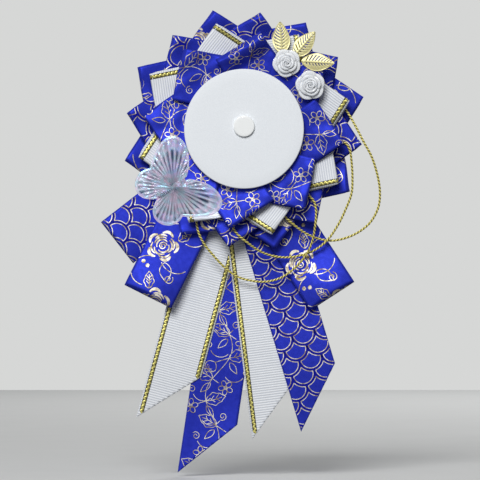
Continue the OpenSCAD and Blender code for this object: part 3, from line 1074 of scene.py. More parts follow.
def pressed(strokes: Sequence[Stroke]) -> list[Stroke]:
    """Draws dark edges along foil lines, painted shade at the foil's edges."""
    return [Stroke(stroke.line, stroke.width + SHADE_EDGE_W) for stroke in strokes]


class Print(Enum):
    """Gold foil prints of the satin ribbons."""

    ROSE = "rose"
    WAVE = "wave"
    VINE = "vine"

    def draw(self, length: float, phase: float, facing: int) -> tuple[list[Stroke], list[Stroke]]:
        """Draws the print over a length of ribbon.

        Args:
            length: Length of the ribbon.
            phase: Where in the pattern the ribbon starts.
            facing: 1 where the print faces along the ribbon, and -1 where it faces back.

        Returns:
            The foil lines and the dark lines under them.
        """
        made = {Print.ROSE: rose_print, Print.WAVE: wave_print, Print.VINE: vine_print}[self](length, phase)
        if facing < 0:
            for stroke in (*made[0], *made[1]):
                stroke.line = stroke.line * [1, -1] + [0, length]
        return made


def wave_print(length: float, phase: float) -> tuple[list[Stroke], list[Stroke]]:
    """Draws rows of outlined wave scales, an old pattern.

    Args:
        length: Length of the ribbon.
        phase: Where in the pattern the ribbon starts.

    Returns:
        The foil lines and the dark lines between the scales.
    """
    scale_w, row, inner_r, line_w, line_gap = 11.1, 6.2, 4.8, 0.35, 1.5
    overhang = 2.2
    half, outer_r = scale_w / 2, inner_r + line_gap
    bow = polar(inner_r, np.radians(np.linspace(0, 180, 40)))
    turn = np.linspace(math.acos((half - inner_r) / outer_r), math.acos(half / outer_r), 16)
    left = polar(outer_r, turn) - [half, row]
    outline = np.concatenate([bow, left, left[::-1] * [-1, 1]])
    foil, dark = [], []
    for j in range(-2, int((length + phase) / row) + 2):
        for k in range(-1, int(RIBBON_W / scale_w) + 2):
            centre = np.array([(k + (j % 2) / 2) * scale_w - overhang, j * row - phase])
            foil.append(Stroke(centre + outline, line_w))
            dark.append(arc(centre, half, 0, 180, line_gap - line_w))
    return foil, dark


def rose_print(length: float, phase: float) -> tuple[list[Stroke], list[Stroke]]:
    """Draws large open roses, heavy with foil, with leaves and sweeping tendrils.

    Args:
        length: Length of the ribbon.
        phase: Where in the pattern the ribbon starts.

    Returns:
        The foil lines and the dark edges of painted shade under them.
    """
    spacing, line_w = 27.0, 0.34
    strokes = []
    for k in range(-1, int((length + phase) / spacing) + 2):
        side = 1 if k % 2 else -1
        rose = np.array([RIBBON_W / 2 + side * 4.4, k * spacing - phase])
        strokes.append(spiral(rose, 0.4, 2.0, 1.7, 40 * k, 0.5))
        for radius, count, span, width in ((2.8, 2, 150, 0.8), (4.0, 3, 96, 0.9), (5.1, 4, 66, 0.9)):
            turns = [360 * i / count + 37 * k + 25 * radius for i in range(count)]
            strokes += [arc(rose, radius, a, a + span, width, 0.4) for a in turns]
        strokes += [arc(rose, 6.2, a, a + 50, 1.5, 0.9) for a in range(50 * k, 360 + 50 * k, 72)]
        strokes += leaf_lines(rose + [-side * 4.4, 7.0], 90 + side * 30, 9.6, 2.8, line_w, 0)
        strokes += leaf_lines(rose + [-side * 5.8, -5.4], -90 - side * 24, 8.4, 2.3, line_w)
        strokes.append(arc(rose + [side * 1.6, 14.0], 7.4, 90 + side * 8, 90 - side * 165, line_w))
        strokes.append(arc(rose + [-side * 8.4, 2.0], 7.8, 90 + side * 60, 90 - side * 45, line_w))
        strokes.append(spiral(rose + [-side * 9.4, 13.4], 0.4, 2.4, 1.4 * side, 90, line_w))
        strokes += [arc(rose + [side * (5.0 - 2.6 * b), 10.4 + 1.3 * b], 0.5, 0, 360, 1.0) for b in range(2)]
    return strokes, pressed(strokes)


def vine_print(length: float, phase: float) -> tuple[list[Stroke], list[Stroke]]:
    """Draws a fine winding vine with leaves, buds, looped flowers and curls.

    Args:
        length: Length of the ribbon.
        phase: Where in the pattern the ribbon starts.

    Returns:
        The foil lines and the dark edges of painted shade under them.
    """
    wave_len, sway, line_w = 44.0, 4.8, 0.27
    places = np.arange(-2, length + 2, 0.5)

    def stem(u: np.ndarray) -> np.ndarray:
        """Place of the stem across the ribbon."""
        return RIBBON_W / 2 + sway * np.sin(2 * np.pi * (u + phase) / wave_len)

    strokes = [Stroke(np.stack([stem(places), places], axis=1), line_w)]
    step = wave_len / 4
    for k in range(-1, int(length / step) + 2):
        u = k * step + 4 - phase % step
        side = 1 if k % 2 else -1
        at = np.array([float(stem(u)), u])
        strokes += leaf_lines(at, 90 - side * 112, 9.8, 2.9, line_w, 2)
        strokes += leaf_lines(at + [side * 0.6, 2.2], 90 - side * 40, 6.4, 1.3, line_w, 0)
        if k % 3:
            flower = at - [side * 7.0, -3.4]
            strokes += flower_lines(flower, 3.6, 31 * k, line_w)
            strokes.append(Stroke(at + np.linspace(0, 0.5, 6)[:, None] * (flower - at), line_w))
        else:
            bud = at - [side * 6.4, -3.0]
            strokes += leaf_lines(bud, 90 + side * 40, 6.6, 2.9, line_w, 0)
            heart, ends = bud + [-side * 1.8, 2.6], (90 - side * 30, 90 + side * 130)
            strokes += [arc(heart, radius, *ends, line_w) for radius in (1.0, 1.9)]
            strokes.append(Stroke(at + np.linspace(0, 1, 6)[:, None] * (bud - at), line_w))
        strokes.append(spiral(at + [side * 9.0, 6.2], 0.4, 2.0, 1.4 * side, 30 * k, line_w))
        strokes.append(arc(at + [side * 3.4, 6.0], 5.2, 90 - side * 60, 90 + side * 50, line_w))
    return strokes, pressed(strokes)


def braid_strokes(length: float) -> tuple[list[Stroke], list[Stroke]]:
    """Draws the woven band along both edges of the grosgrain.

    Args:
        length: Length of the ribbon.

    Returns:
        The gold stitches and the dark beds under them.
    """
    band_w, inset, stitch, yarn_w, sway, lap = 2.1, 0.7, 1.05, 1.05, 0.55, 0.08
    share = np.linspace(-lap, 1 + lap, 6)
    stitches, beds = [], []
    for edge, inward in ((0.0, 1), (RIBBON_W, -1)):
        middle = edge + inward * (inset + band_w / 2)
        places = np.arange(0, length, 0.5)
        beds.append(Stroke(np.stack([np.full_like(places, middle), places], axis=1), band_w))
        for k in range(int(length / stitch)):
            slant = sway * (2 * share - 1) * (-1) ** k
            line = np.stack([middle + slant, (k + share) * stitch], axis=1)
            stitches.append(Stroke(line, yarn_w * (0.6 + 0.4 * np.sin(np.pi * np.clip(share, 0, 1)))))
    return stitches, beds


class Weave(Enum):
    """Kinds of ribbon."""

    SATIN = "satin"
    GROSGRAIN = "grosgrain"

    @property
    def thickness(self) -> float:
        """Thickness of the ribbon."""
        return SATIN_T if self is Weave.SATIN else GROSGRAIN_T

    @property
    def finish(self) -> Finish:
        """Finish of the ribbon."""
        return BLUE_SATIN if self is Weave.SATIN else WHITE_GROSGRAIN

    @property
    def slot(self) -> str:
        """The record's material slot."""
        return "blue_satin" if self is Weave.SATIN else "white_grosgrain"

    @property
    def step(self) -> float:
        """Spacing of the mesh along the ribbon: the grosgrain's ribs need it fine."""
        return 0.8 if self is Weave.SATIN else 0.19

    @property
    def across(self) -> np.ndarray:
        """Places of the mesh across the ribbon."""
        return np.linspace(0, RIBBON_W, 21 if self is Weave.SATIN else 14)

    @property
    def skew(self) -> float:
        """How far a pleat's lower layer lies aside from its upper one."""
        return 0.4 if self is Weave.SATIN else 0.6

    def raise_ribs(self, surface: RibbonSurface) -> None:
        """Gives the grosgrain its ribs."""
        if self is Weave.GROSGRAIN:
            surface.rib(RIB_PITCH, RIB_H)


def folded_strip(weave: Weave, run: float, fold_h: np.ndarray, fall: float) -> tuple[np.ndarray, np.ndarray]:
    """Shapes a ribbon folded back on itself, with its fold on the first axis and creased steeply.

    Args:
        weave: Kind of ribbon.
        run: Ribbon from the fold to the glued end.
        fold_h: Height of the fold at each place across.
        fall: Run in which the upper layer comes down from the fold.

    Returns:
        Flat places along the ribbon from its upper end, and points by place along and across.
    """
    across, thickness = weave.across, weave.thickness
    root_h = 2 * thickness + ROOT_SLACK
    bend_r = (fold_h - thickness) / 2
    reach = FOLD_STEEP * bend_r
    level = thickness / 2 + bend_r
    centre = thickness / 2 + reach
    share = np.linspace(0, 1, int(run / weave.step) + 1)
    top_y = centre + (run - centre) * (1 - share[:, None])
    top_z = fold_h - thickness / 2 - (fold_h - root_h) * eased((top_y - centre) / fall)
    angle = np.radians(np.linspace(90, 270, FOLD_STEPS))[1:-1, None]
    ahead, over = (np.sign(part) * np.abs(part) ** FOLD_CREASE for part in (np.cos(angle), np.sin(angle)))
    low_z = np.full_like(top_y, thickness / 2)
    y = np.concatenate([top_y, centre + reach * ahead, top_y[::-1]])
    z = np.concatenate([top_z, level + bend_r * over, low_z])
    points = np.stack([np.broadcast_to(across, y.shape), y, z], axis=-1)
    return lengths_along(points[:, len(across) // 2]), points


def trim_ribbon(
    name: str,
    weave: Weave,
    printed: Print | None,
    ribbons: Sequence[tuple[RibbonSurface, float]],
    facing: int = 1,
) -> None:
    """Adds the foil print to satin ribbons, or the gold edges to both faces of grosgrain.

    Args:
        name: Name of the ribbons together.
        weave: Kind of ribbon.
        printed: Print of a satin ribbon.
        ribbons: The ribbons, each with the place in the pattern where it starts.
        facing: 1 where the print faces along the ribbon, and -1 where it faces back.
    """
    bright, dark = [], []
    for surface, phase in ribbons:
        length = surface.along[-1]
        drawn = printed.draw(length, phase, facing) if printed else braid_strokes(length)
        bright.append((surface, drawn[0]))
        dark.append((surface, drawn[1]))
    if printed:
        trim = "foil"
        # The dark layer under the foil lines is painted shade along their edges
        layers = [(GOLD_FOIL, FOIL_LIFT, 0.0, bright), (PAINTED_SHADE_EDGE, FOIL_LIFT / 2, 0.0, dark)]
    else:
        trim = "gold_edge"
        layers = []
        for face, foot in ((1, 0.0), (-1, -GROSGRAIN_T)):
            layers.append((GOLD_YARN, foot + face * YARN_LIFT, face * YARN_CROWN, bright))
            layers.append((YARN_BED, foot + face * BED_LIFT, 0.0, dark))
    adopt(strokes_piece(f"{name}_{trim}", layers), weave.slot)


@dataclass(frozen=True)
class Waves:
    """Crossing waves in cloth.

    Attributes:
        across: Stretch of the waves across the ribbon, in millimetres to the radian.
        along: Their stretch along the ribbon, likewise.
        shifts: How far a ribbon's own number shifts them across and along, in radians.
    """

    across: float
    along: float
    shifts: tuple[float, float]

    def at(self, x: np.ndarray, y: np.ndarray, own: float) -> np.ndarray:
        """Finds the height of the waves, from -1 to 1.

        Args:
            x: Places across the ribbon.
            y: Places along the ribbon.
            own: The ribbon's own number.

        Returns:
            The heights.
        """
        first, second = (shift * own for shift in self.shifts)
        return np.sin(x / self.across + first) * np.cos(y / self.along + second)


# A pleat's curled tip and shifted print, the bulge of its fold, its skewed lower layer and the waves
# outside the felt disc
TIP_W = 11.0
TIP_RUN = 13.0
TIP_WAVE_H = 0.22
TIP_WAVES = Waves(2.1, 2.6, (3, 9))
TIP_CURL = 0.8
PRINT_SHIFT = 20.0
FOLD_BULGE = 0.4
BULGE_RUN = 20.0
SKEW_RUN = 5.0
SWELL_FROM = 29.0
SWELL_RUN = 6.0
SWELL_WAVES = Waves(1.9, 2.7, (40, 25))
# A bow loop's belly, waves and lifted end
LOOP_EDGE = 0.15
LOOP_WAVE_H = 0.22
LOOP_WAVES = Waves(3.6, 4.4, (1, 0))
LOOP_WAVE_RUN = 40.0
LOOP_LIFT_RUN = 60.0


def outside_hub(across: np.ndarray, along: np.ndarray, points: np.ndarray) -> np.ndarray:
    """Keeps what lies outside the middle of the rosette, where the roots are trimmed away."""
    return np.hypot(points[..., 0], points[..., 1]) > HUB_R


@dataclass(frozen=True)
class Fold:
    """How full a pleat's fold stands.

    Attributes:
        roll: How much fuller it stands at the pleat's tip.
        fall: Run in which the upper layer comes down from it.
        reach: How far from the tip it stands fuller.
    """

    roll: float
    fall: float
    reach: float = 15.0


@dataclass(frozen=True)
class PleatRing:
    """A ring of folded pleats.

    Attributes:
        name: Print or weave that the ring's nodes are named for.
        tip_r: Radius of the tips.
        turn: Direction of the first tip.
        weave: Kind of ribbon.
        printed: Print of a satin ring.
        folds: The fold of each pleat.
        swell: Height of the slow waves in the cloth outside the felt disc.
    """

    name: str
    tip_r: float
    turn: float
    weave: Weave
    printed: Print | None
    folds: tuple[Fold, ...]
    swell: float = 0.0

    def surface(self, index: int, curl: float) -> RibbonSurface:
        """Shapes one pleat.

        Args:
            index: Number of the pleat from 0.
            curl: How far its tip curls to the front.

        Returns:
            The pleat's middle surface.
        """
        tilt, lean = math.radians(PLEAT_TILT), math.radians(90 + RUN_LEAN)
        root_drop = PLEAT_RUN * math.sin(math.radians(RUN_LEAN)) * math.sin(tilt)
        level = back_of(f"{self.name}_pleat_1") + root_drop
        across, fold = self.weave.across, self.folds[index]
        fold_h = PLEAT_FOLD_H + fold.roll * (1 - eased(across / fold.reach))
        along, local = folded_strip(self.weave, PLEAT_RUN, fold_h, fold.fall)
        x, y, z = np.moveaxis(local, -1, 0)
        tip = np.exp(-((x / TIP_W) ** 2) - (y / TIP_RUN) ** 2)
        z = z + tip * (curl + TIP_WAVE_H * TIP_WAVES.at(x, y, curl))
        bulge = FOLD_BULGE * fold.roll * (1 - eased(x / fold.reach))
        y = y + bulge * (1 - eased(y / BULGE_RUN))
        lower = (along > along[-1] / 2)[:, None]
        x = x - self.weave.skew * lower * eased(y / SKEW_RUN)
        right = self.tip_r + x * math.cos(lean) - y * math.sin(lean)
        up = x * math.sin(lean) + y * math.cos(lean)
        outside = eased((np.hypot(right, up) - SWELL_FROM) / SWELL_RUN)
        z = z + self.swell * outside * (1 + SWELL_WAVES.at(x, y, curl))
        front = level + up * math.sin(tilt) + z * math.cos(tilt)
        up = up * math.cos(tilt) - z * math.sin(tilt)
        points = turned(np.stack([right, up, front], axis=-1), self.turn + index * PITCH)
        made = RibbonSurface(along, across, points, self.weave.thickness, outside_hub)
        self.weave.raise_ribs(made)
        return made

    def build(self, rng: np.random.Generator) -> None:
        """Makes the ring's pleats and their print or edges.

        Args:
            rng: Source of the small differences between pleats.
        """
        ribbons = []
        for index in range(len(self.folds)):
            surface = self.surface(index, rng.uniform(0.0, TIP_CURL))
            node = f"{self.name}_pleat_{index + 1}"
            piece = adopt(surface.cloth(f"{node}_cloth", self.weave.finish), self.weave.slot, node)
            ribbons.append((surface, rng.uniform(0.0, PRINT_SHIFT)))
        trim_ribbon(f"{self.name}_ring", self.weave, self.printed, ribbons)


@dataclass(frozen=True)
class BowLoop:
    """A bow loop of satin, folded at its outer end.

    Attributes:
        node: Name of its node.
        fold: Middle of its fold, right and up.
        direction: Direction of its run from the fold.
        run: Ribbon from the fold to the glued end.
        printed: Its print.
        phase: Where in the pattern it starts.
        roll: How much fuller the fold stands than its root.
        facing: Which way the print faces.
        fall: Run in which the upper layer comes down from the fold.
        lift: How far the loop's outer end stands to the front.
    """

    node: str
    fold: tuple[float, float]
    direction: float
    run: float
    printed: Print
    phase: float
    roll: float
    facing: int = 1
    fall: float = 26.0
    lift: float = 0.0

    def build(self) -> None:
        """Makes the loop and its print."""
        across = Weave.SATIN.across
        belly = np.sin(np.pi * (LOOP_EDGE + (1 - 2 * LOOP_EDGE) * across / RIBBON_W))
        along, local = folded_strip(Weave.SATIN, self.run, LOOP_FOLD_H + self.roll * belly, self.fall)
        x, y = local[..., 0], local[..., 1]
        waves = LOOP_WAVE_H * (1 + LOOP_WAVES.at(x, y, self.phase))
        local[..., 2] += waves * (1 - eased(y / LOOP_WAVE_RUN))
        local[..., 2] += self.lift * (1 - eased(y / LOOP_LIFT_RUN))
        points = turned(local - [RIBBON_W / 2, 0, 0], self.direction - 90)
        points += [*self.fold, back_of(self.node)]
        surface = RibbonSurface(along, across, points, SATIN_T, lambda v, u, p: np.full(np.shape(v), True))
        piece = adopt(surface.cloth(f"{self.node}_cloth", BLUE_SATIN), "blue_satin", self.node)
        trim_ribbon(self.node, Weave.SATIN, self.printed, [(surface, self.phase)], self.facing)


# The tails' roots, their slanted ends, and how they wave where they hang free
TAIL_ROOT_UP = -10.0
TAIL_CUT = 47.0
TAIL_WAVE_H = 0.8
TAIL_WAVE_LEN = 64.0
TAIL_FLAT = 34.0
TAIL_FREE_FROM = 50.0
TAIL_FREE_RUN = 70.0
TAIL_BARE = 0.3


@dataclass(frozen=True)
class Tail:
    """A hanging tail with a slanted end.

    Attributes:
        node: Name of its node.
        root_x: Middle of its glued end, right of the middle.
        lean: Lean to the right.
        length: Length of its long edge, on the left.
        weave: Kind of ribbon.
        printed: Print of a satin tail.
        phase: Where in the pattern it starts.
    """

    node: str
    root_x: float
    lean: float
    length: float
    weave: Weave
    printed: Print | None
    phase: float

    @staticmethod
    def ripple(right: np.ndarray, up: np.ndarray) -> np.ndarray:
        """Sag of hanging cloth behind its level, alike for all tails, so that they stay nested.

        Args:
            right: Places to the right.
            up: Places upwards.

        Returns:
            Depth of the sag.
        """
        below = np.maximum(TAIL_ROOT_UP - up - TAIL_FLAT, 0)
        wave = TAIL_WAVE_H * (1 - np.cos(2 * np.pi * below / TAIL_WAVE_LEN)) / 2
        free = eased((below - TAIL_FREE_FROM) / TAIL_FREE_RUN)
        broad_h, narrow_h = 0.9, 0.5
        broad = broad_h * np.sin(right / 9.5 + below / 26)
        narrow = narrow_h * np.cos(right / 6 - below / 15)
        return wave + free * (broad + narrow)

    def build(self) -> None:
        """Makes the tail and its print or edges."""
        across = self.weave.across
        t = self.weave.thickness
        along = np.linspace(0, self.length, int(self.length / self.weave.step) + 1)
        s, v = along[:, None], across[None, :]
        lean = math.radians(self.lean)
        aside = RIBBON_W / 2 - v
        right = self.root_x - aside * math.cos(lean) + s * math.sin(lean)
        up = TAIL_ROOT_UP - aside * math.sin(lean) - s * math.cos(lean)
        front = front_of(self.node) - t / 2 - self.ripple(right, up)
        slope = math.tan(math.radians(TAIL_CUT))
        surface = RibbonSurface(
            along,
            across,
            np.stack([right, up, front], axis=-1),
            t,
            lambda v, u, p: u < self.length - slope * v - TAIL_BARE,
        )
        self.weave.raise_ribs(surface)
        end = surface.points[-1, 0]
        down = np.array([math.sin(lean), -math.cos(lean), 0])
        sideways = np.array([math.cos(lean), math.sin(lean), 0])
        piece = surface.cloth(f"{self.node}_cloth", self.weave.finish, (end, down + slope * sideways))
        adopt(piece, self.weave.slot, self.node)
        trim_ribbon(self.node, self.weave, self.printed, [(surface, self.phase)])


@dataclass(frozen=True)
class GoldCord:
    """A twisted gold cord whose two ends are tucked into the rosette.

    Attributes:
        node: Name of its node.
        route: Points of its middle line, as in the part's source or up to 0.5 mm further to the front.
        diameter: Its diameter.
        lay: Length in which a strand goes once round.
        groove: Radius in the grooves between the strands, as a share of the cord's.
        shade: How fast the grooves turn dark with painted shade.
        sides: Points of the mesh round the cord.
        step: Spacing of the mesh along the cord.
    """

    node: str
    route: tuple[tuple[float, float, float], ...]
    diameter: float = 1.2
    lay: float = 3.4
    groove: float = 0.56
    shade: float = 1.5
    sides: int = 14
    step: float = 0.3

    def path(self) -> np.ndarray:
        """Draws a smooth middle line through the route's points.

        Returns:
            The line's points.
        """
        p = np.array(self.route)
        p = np.concatenate([p[:1], p, p[-1:]])
        steps = 24
        f = np.linspace(0, 1, steps, endpoint=False)[:, None]
        spans = []
        for a, b, c, d in zip(p, p[1:], p[2:], p[3:]):
            square = 2 * a - 5 * b + 4 * c - d
            cube = 3 * b - a - 3 * c + d
            spans.append((2 * b + (c - a) * f + square * f**2 + cube * f**3) / 2)
        return np.concatenate([*spans, p[-1:]])

    def build(self) -> None:
        """Makes the cord of two strands laid round each other."""
        dense = self.path()
        reach = lengths_along(dense)
        places = np.linspace(0, reach[-1], int(reach[-1] / self.step))
        line = np.stack([np.interp(places, reach, dense[:, k]) for k in range(3)], axis=1)
        heading = unit(np.gradient(line, axis=0))
        side = unit(np.cross(heading, [0, 0, 1]))
        over = np.cross(side, heading)
        angle = np.linspace(0, 2 * np.pi, self.sides, endpoint=False)
        twist = 2 * np.pi * places[:, None] / self.lay
        ridge = np.abs(np.cos(angle[None, :] - twist))
        radius = self.diameter / 2 * (self.groove + (1 - self.groove) * ridge)
        ring = np.cos(angle)[None, :, None] * side[:, None] + np.sin(angle)[None, :, None] * over[:, None]
        points = (line[:, None] + radius[..., None] * ring).reshape(-1, 3)
        index = np.arange(len(points)).reshape(-1, self.sides)
        after = np.roll(index, -1, axis=1)
        walls = np.stack([index[:-1], after[:-1], after[1:], index[1:]], axis=-1).reshape(-1, 4)
        faces = [*walls.tolist(), index[0][::-1].tolist(), index[-1].tolist()]
        piece = mesh_piece(f"{self.node}_twist", points, faces, [GOLD_CORD])
        # Painted shade: the grooves between the strands are darkened
        mark_points(piece, GOLD_CORD.mark, np.clip(self.shade * (1 - ridge), 0, 1))
        with editing(piece):
            bpy.ops.mesh.normals_make_consistent(inside=False)
        adopt(piece, "gold_thread", self.node)


ROUND_SIDES = 128
ROUND_INSETS = 5


@dataclass(frozen=True)
class Round:
    """A round of felt or enamelled metal, lying with its axis to the front.

    Attributes:
        node: Name of its node.
        diameter: Diameter of the round.
        thickness: Thickness of the round.
        edge: Radius of its rounded edges.
        finish: Its finish.
        slot: The record's material slot.
        up: Height of its middle.
    """

    node: str
    diameter: float
    thickness: float
    edge: float
    finish: Finish
    slot: str
    up: float = 0.0

    def shape(self, level: float) -> Object:
        """Shapes a cylinder into the round, with insets and rounded edges.

        Args:
            level: Height of its middle over the back of the rosette.

        Returns:
            The piece.
        """
        piece = add_primitive(
            bpy.ops.mesh.primitive_cylinder_add,
            vertices=ROUND_SIDES,
            radius=self.diameter / 2 * MM,
            depth=self.thickness * MM,
            location=tuple(to_frame(np.array([0, self.up, level]))),
            rotation=(math.pi / 2, 0, 0),
        )
        piece.name = piece.data.name = f"{self.node}_round"
        bpy.ops.object.transform_apply(location=True, rotation=True, scale=True)
        with editing(piece, [abs(face.normal.y) > 0.5 for face in piece.data.polygons]):
            bpy.ops.mesh.bevel(offset=self.edge * MM, segments=3, affect="EDGES")
        inset = self.diameter / 2 / (ROUND_INSETS + 1) * MM
        with editing(piece, [len(face.vertices) > 4 for face in piece.data.polygons]):
            for _ in range(ROUND_INSETS):
                bpy.ops.mesh.inset(thickness=inset)
        dress(piece, self.finish)
        bpy.ops.object.shade_smooth_by_angle(angle=math.radians(50))
        return piece

    def build(self) -> Object:
        """Makes the round where its node lies.

        Returns:
            The piece.
        """
        return adopt(self.shape((back_of(self.node) + front_of(self.node)) / 2), self.slot, self.node)


@dataclass(frozen=True)
class PleatBase:
    """The felt round that carries the pleats, with layers behind it that are cut off over the tails.

    Attributes:
        board: The round in front.
        layers: Number of layers.
        cut: Height of the layers' lower edge.
    """

    board: Round
    layers: int
    cut: float

    def build(self) -> None:
        """Makes the round and its layers as one piece."""
        node = self.board.node
        front, back = front_of(node) - self.board.thickness, back_of(node)
        parts = [self.board.shape(front + self.board.thickness / 2)]
        layer = replace(self.board, thickness=(front - back) / self.layers)
        for k in range(self.layers):
            part = layer.shape(back + (k + 0.5) * layer.thickness)
            with editing(part):
                bpy.ops.mesh.bisect(
                    plane_co=(0, 0, self.cut * MM), plane_no=(0, 0, 1), clear_inner=True, use_fill=True
                )
            parts.append(part)
        adopt(join(parts[0].name, parts), self.board.slot, node)


@dataclass(frozen=True)
class PetalRow:
    """One row of petals of a resin rose, for a rose of unit radius and unit height.

    Attributes:
        count: Number of petals.
        foot_r: Radius of their feet.
        lip_r: Radius of their lips.
        lip_h: Height of their lips.
        span: Angle that each petal covers.
    """

    count: int
    foot_r: float
    lip_r: float
    lip_h: float
    span: float


PETAL_ROWS = (
    PetalRow(2, 0.03, 0.14, 0.98, 240),
    PetalRow(3, 0.1, 0.32, 0.95, 165),
    PetalRow(3, 0.2, 0.52, 0.86, 150),
    PetalRow(4, 0.34, 0.75, 0.66, 112),
    PetalRow(5, 0.5, 1.02, 0.34, 86),
)


@dataclass(frozen=True)
class ResinRose:
    """A cast rose of rows of petals.

    Attributes:
        node: Name of its node.
        diameter: Its diameter.
        height: Its height.
        turn: Turn of the rose.
        row_turn: Turn from one row of petals to the next.
        petal_t: Thickness of a petal.
        foot_h: Height of the petals' feet over the rose's back.
        head_room: What the petals' height leaves of the rose's height.
        dome_w: Half the width of the dome under the petals, as a share of the diameter.
        dome_h: Height of the dome, as a share of the rose's height.
        dome_gap: Gap between the dome and the rose's back.
    """

    node: str
    diameter: float
    height: float
    turn: float
    row_turn: float = 43.0
    petal_t: float = 0.36
    foot_h: float = 0.25
    head_room: float = 0.3
    dome_w: float = 0.42
    dome_h: float = 0.2
    dome_gap: float = 0.02

    def petal(self, row: PetalRow, turn: float) -> Object:
        """Shapes a grid into one petal with a rolled lip.

        Args:
            row: The petal's row.
            turn: Direction of the petal's middle.

        Returns:
            The petal.
        """
        corner_in, lean_in, roll, corner_down, flare = 0.14, 0.1, 1.22, 0.22, 1.6
        petal, swing, rise = flat_grid(12, 8)
        angle = np.radians(turn + swing * row.span / 2)
        lip_r = row.lip_r * (1.01 - corner_in * np.abs(swing) ** 1.5)
        overlap = lean_in * (1.1 - row.lip_r) * swing * rise
        radius = row.foot_r + (lip_r - row.foot_r) * rise**flare + overlap
        rolled = np.sin(0.5 * np.pi * roll * rise)
        height = row.lip_h * rolled * (1 - corner_down * swing**2 * rise)
        place = polar(radius, angle) * self.diameter / 2 + middle_of(self.node)
        front = back_of(self.node) + self.foot_h + height * (self.height - self.head_room)
        move_points(petal, to_frame(np.column_stack([place, front])))
        return petal

    def dome(self) -> Object:
        """Shapes a sphere into the dome under the petals.

        Returns:
            The dome.
        """
        seat = back_of(self.node) + self.dome_gap
        wide, high = self.diameter * self.dome_w * MM, self.height * self.dome_h * MM
        dome = add_primitive(
            bpy.ops.mesh.primitive_uv_sphere_add,
            segments=40,
            ring_count=16,
            radius=1.0,
            location=tuple(to_frame(np.array([*middle_of(self.node), seat]))),
            scale=(wide, high, wide),
        )
        bpy.ops.object.transform_apply(location=True, rotation=True, scale=True)
        with editing(dome):
            bpy.ops.mesh.bisect(
                plane_co=(0, -seat * MM, 0), plane_no=(0, 1, 0), clear_outer=True, use_fill=True
            )
        return dome

    def build(self) -> None:
        """Makes the rose from its petals and the dome under them."""
        name = f"{self.node}_petals"
        petals = []
        for k, row in enumerate(PETAL_ROWS):
            first = self.turn + self.row_turn * k
            petals += [self.petal(row, first + 360 * i / row.count) for i in range(row.count)]
        rose = join(name, petals)
        apply_modifier(rose, "SOLIDIFY", thickness=self.petal_t * MM, offset=0.0)
        apply_modifier(rose, "SUBSURF", levels=1, render_levels=1)
        join(name, [rose, self.dome()])
        dress(rose, WHITE_RESIN)
        bpy.ops.object.shade_smooth()
        adopt(rose, "white_resin", self.node)


@dataclass(frozen=True)
class GoldLeaf:
    """A stamped leaf, pierced between its veins.

    Attributes:
        node: Name of its node.
        base: Foot of the leaf, right and up.
        direction: Direction of the leaf.
        length: Its length.
        width: Its greatest width.
        thickness: Thickness of its sheet.
        arch_r: Radius of its arch across.
        lift: How far its tip stands to the front.
        veins: Number of its veins.
    """

    node: str
    base: tuple[float, float]
    direction: float
    length: float = 15.5
    width: float = 8.4
    thickness: float = 0.4
    arch_r: float = 9.0
    lift: float = 0.9
    veins: int = 11

    def relief(self, x: np.ndarray, side: np.ndarray, share: np.ndarray) -> np.ndarray:
        """Shapes the midrib, the veins and the rim.

        Args:
            x: Places across the leaf.
            side: Those places from -1 to 1, between the edges.
            share: Places along the leaf from 0 to 1.

        Returns:
            Height over the plain leaf.
        """
        midrib_h, midrib_w, vein_h, vein_end, rim_h, rim_w = 0.32, 0.28, 0.05, 0.85, 0.25, 0.08
        midrib = midrib_h * np.exp(-((x / midrib_w) ** 2))
        veins = vein_h * np.cos(2 * np.pi * self.veins * share) * (np.abs(side) < vein_end)
        rim = rim_h * np.exp(-(((1 - np.abs(side)) / rim_w) ** 2))
        return midrib + veins + rim

    def slits(self, side: np.ndarray, share: np.ndarray) -> np.ndarray:
        """Chooses the faces that are pierced, in longer slits on the left than on the right.

        Args:
            side: Places of the faces' middles across the leaf, from -1 to 1.
            share: Their places along the leaf, from 0 to 1.

        Returns:
            Whether each face is pierced.
        """
        half_w, inner, outer, whole_foot, whole_tip = 0.22, 0.16, 0.78, 1.0, 1.2
        place = share * self.veins
        reach = np.abs(side) * np.where(side < 0, 1, 2)
        between = np.abs(place % 1 - 0.5) < half_w
        between &= (place > whole_foot) & (place < self.veins - whole_tip)
        return between & (reach > inner) & (reach < outer)

    def build(self) -> None:
        """Shapes a grid into the leaf, opens it between the veins and gives it its thickness."""
        rows_each, slant = 7, 0.2
        leaf, side, share = flat_grid(30, rows_each * self.veins)
        leaf.name = leaf.data.name = f"{self.node}_plate"
        corners = [list(face.vertices) for face in leaf.data.polygons]
        slits = self.slits(side[corners].mean(axis=1), share[corners].mean(axis=1))
        along = share + slant * np.abs(side) ** 1.2 * np.sin(np.pi * share)
        bow = np.maximum(np.sin(np.pi * np.minimum(along, 1) ** 0.86), 0) ** 0.85
        x, y = side * self.width / 2 * bow, along * self.length
        arch = self.arch_r - np.sqrt(self.arch_r**2 - x**2)
        level = front_of(self.node) - self.thickness / 2
        z = level - arch + self.relief(x, side, share) + self.lift * share**2.5
        lying = turned(np.column_stack([x, y, z]), self.direction - 90) + [*self.base, 0]
        move_points(leaf, to_frame(lying))
        with editing(leaf, slits):
            bpy.ops.mesh.delete(type="FACE")
        apply_modifier(leaf, "SOLIDIFY", thickness=self.thickness * MM, offset=0.0)
        dress(leaf, PALE_GOLD)
        bpy.ops.object.shade_smooth_by_angle(angle=math.radians(40))
        adopt(leaf, "pale_gold", self.node)


@dataclass(frozen=True)
class WingPair:
    """Outline and ridges of a pair of wings.

    Attributes:
        spokes: Number of ridges in a wing.
        outline: Angle from the head, and reach, of points on the rim.
    """

    spokes: int
    outline: tuple[tuple[float, float], ...]


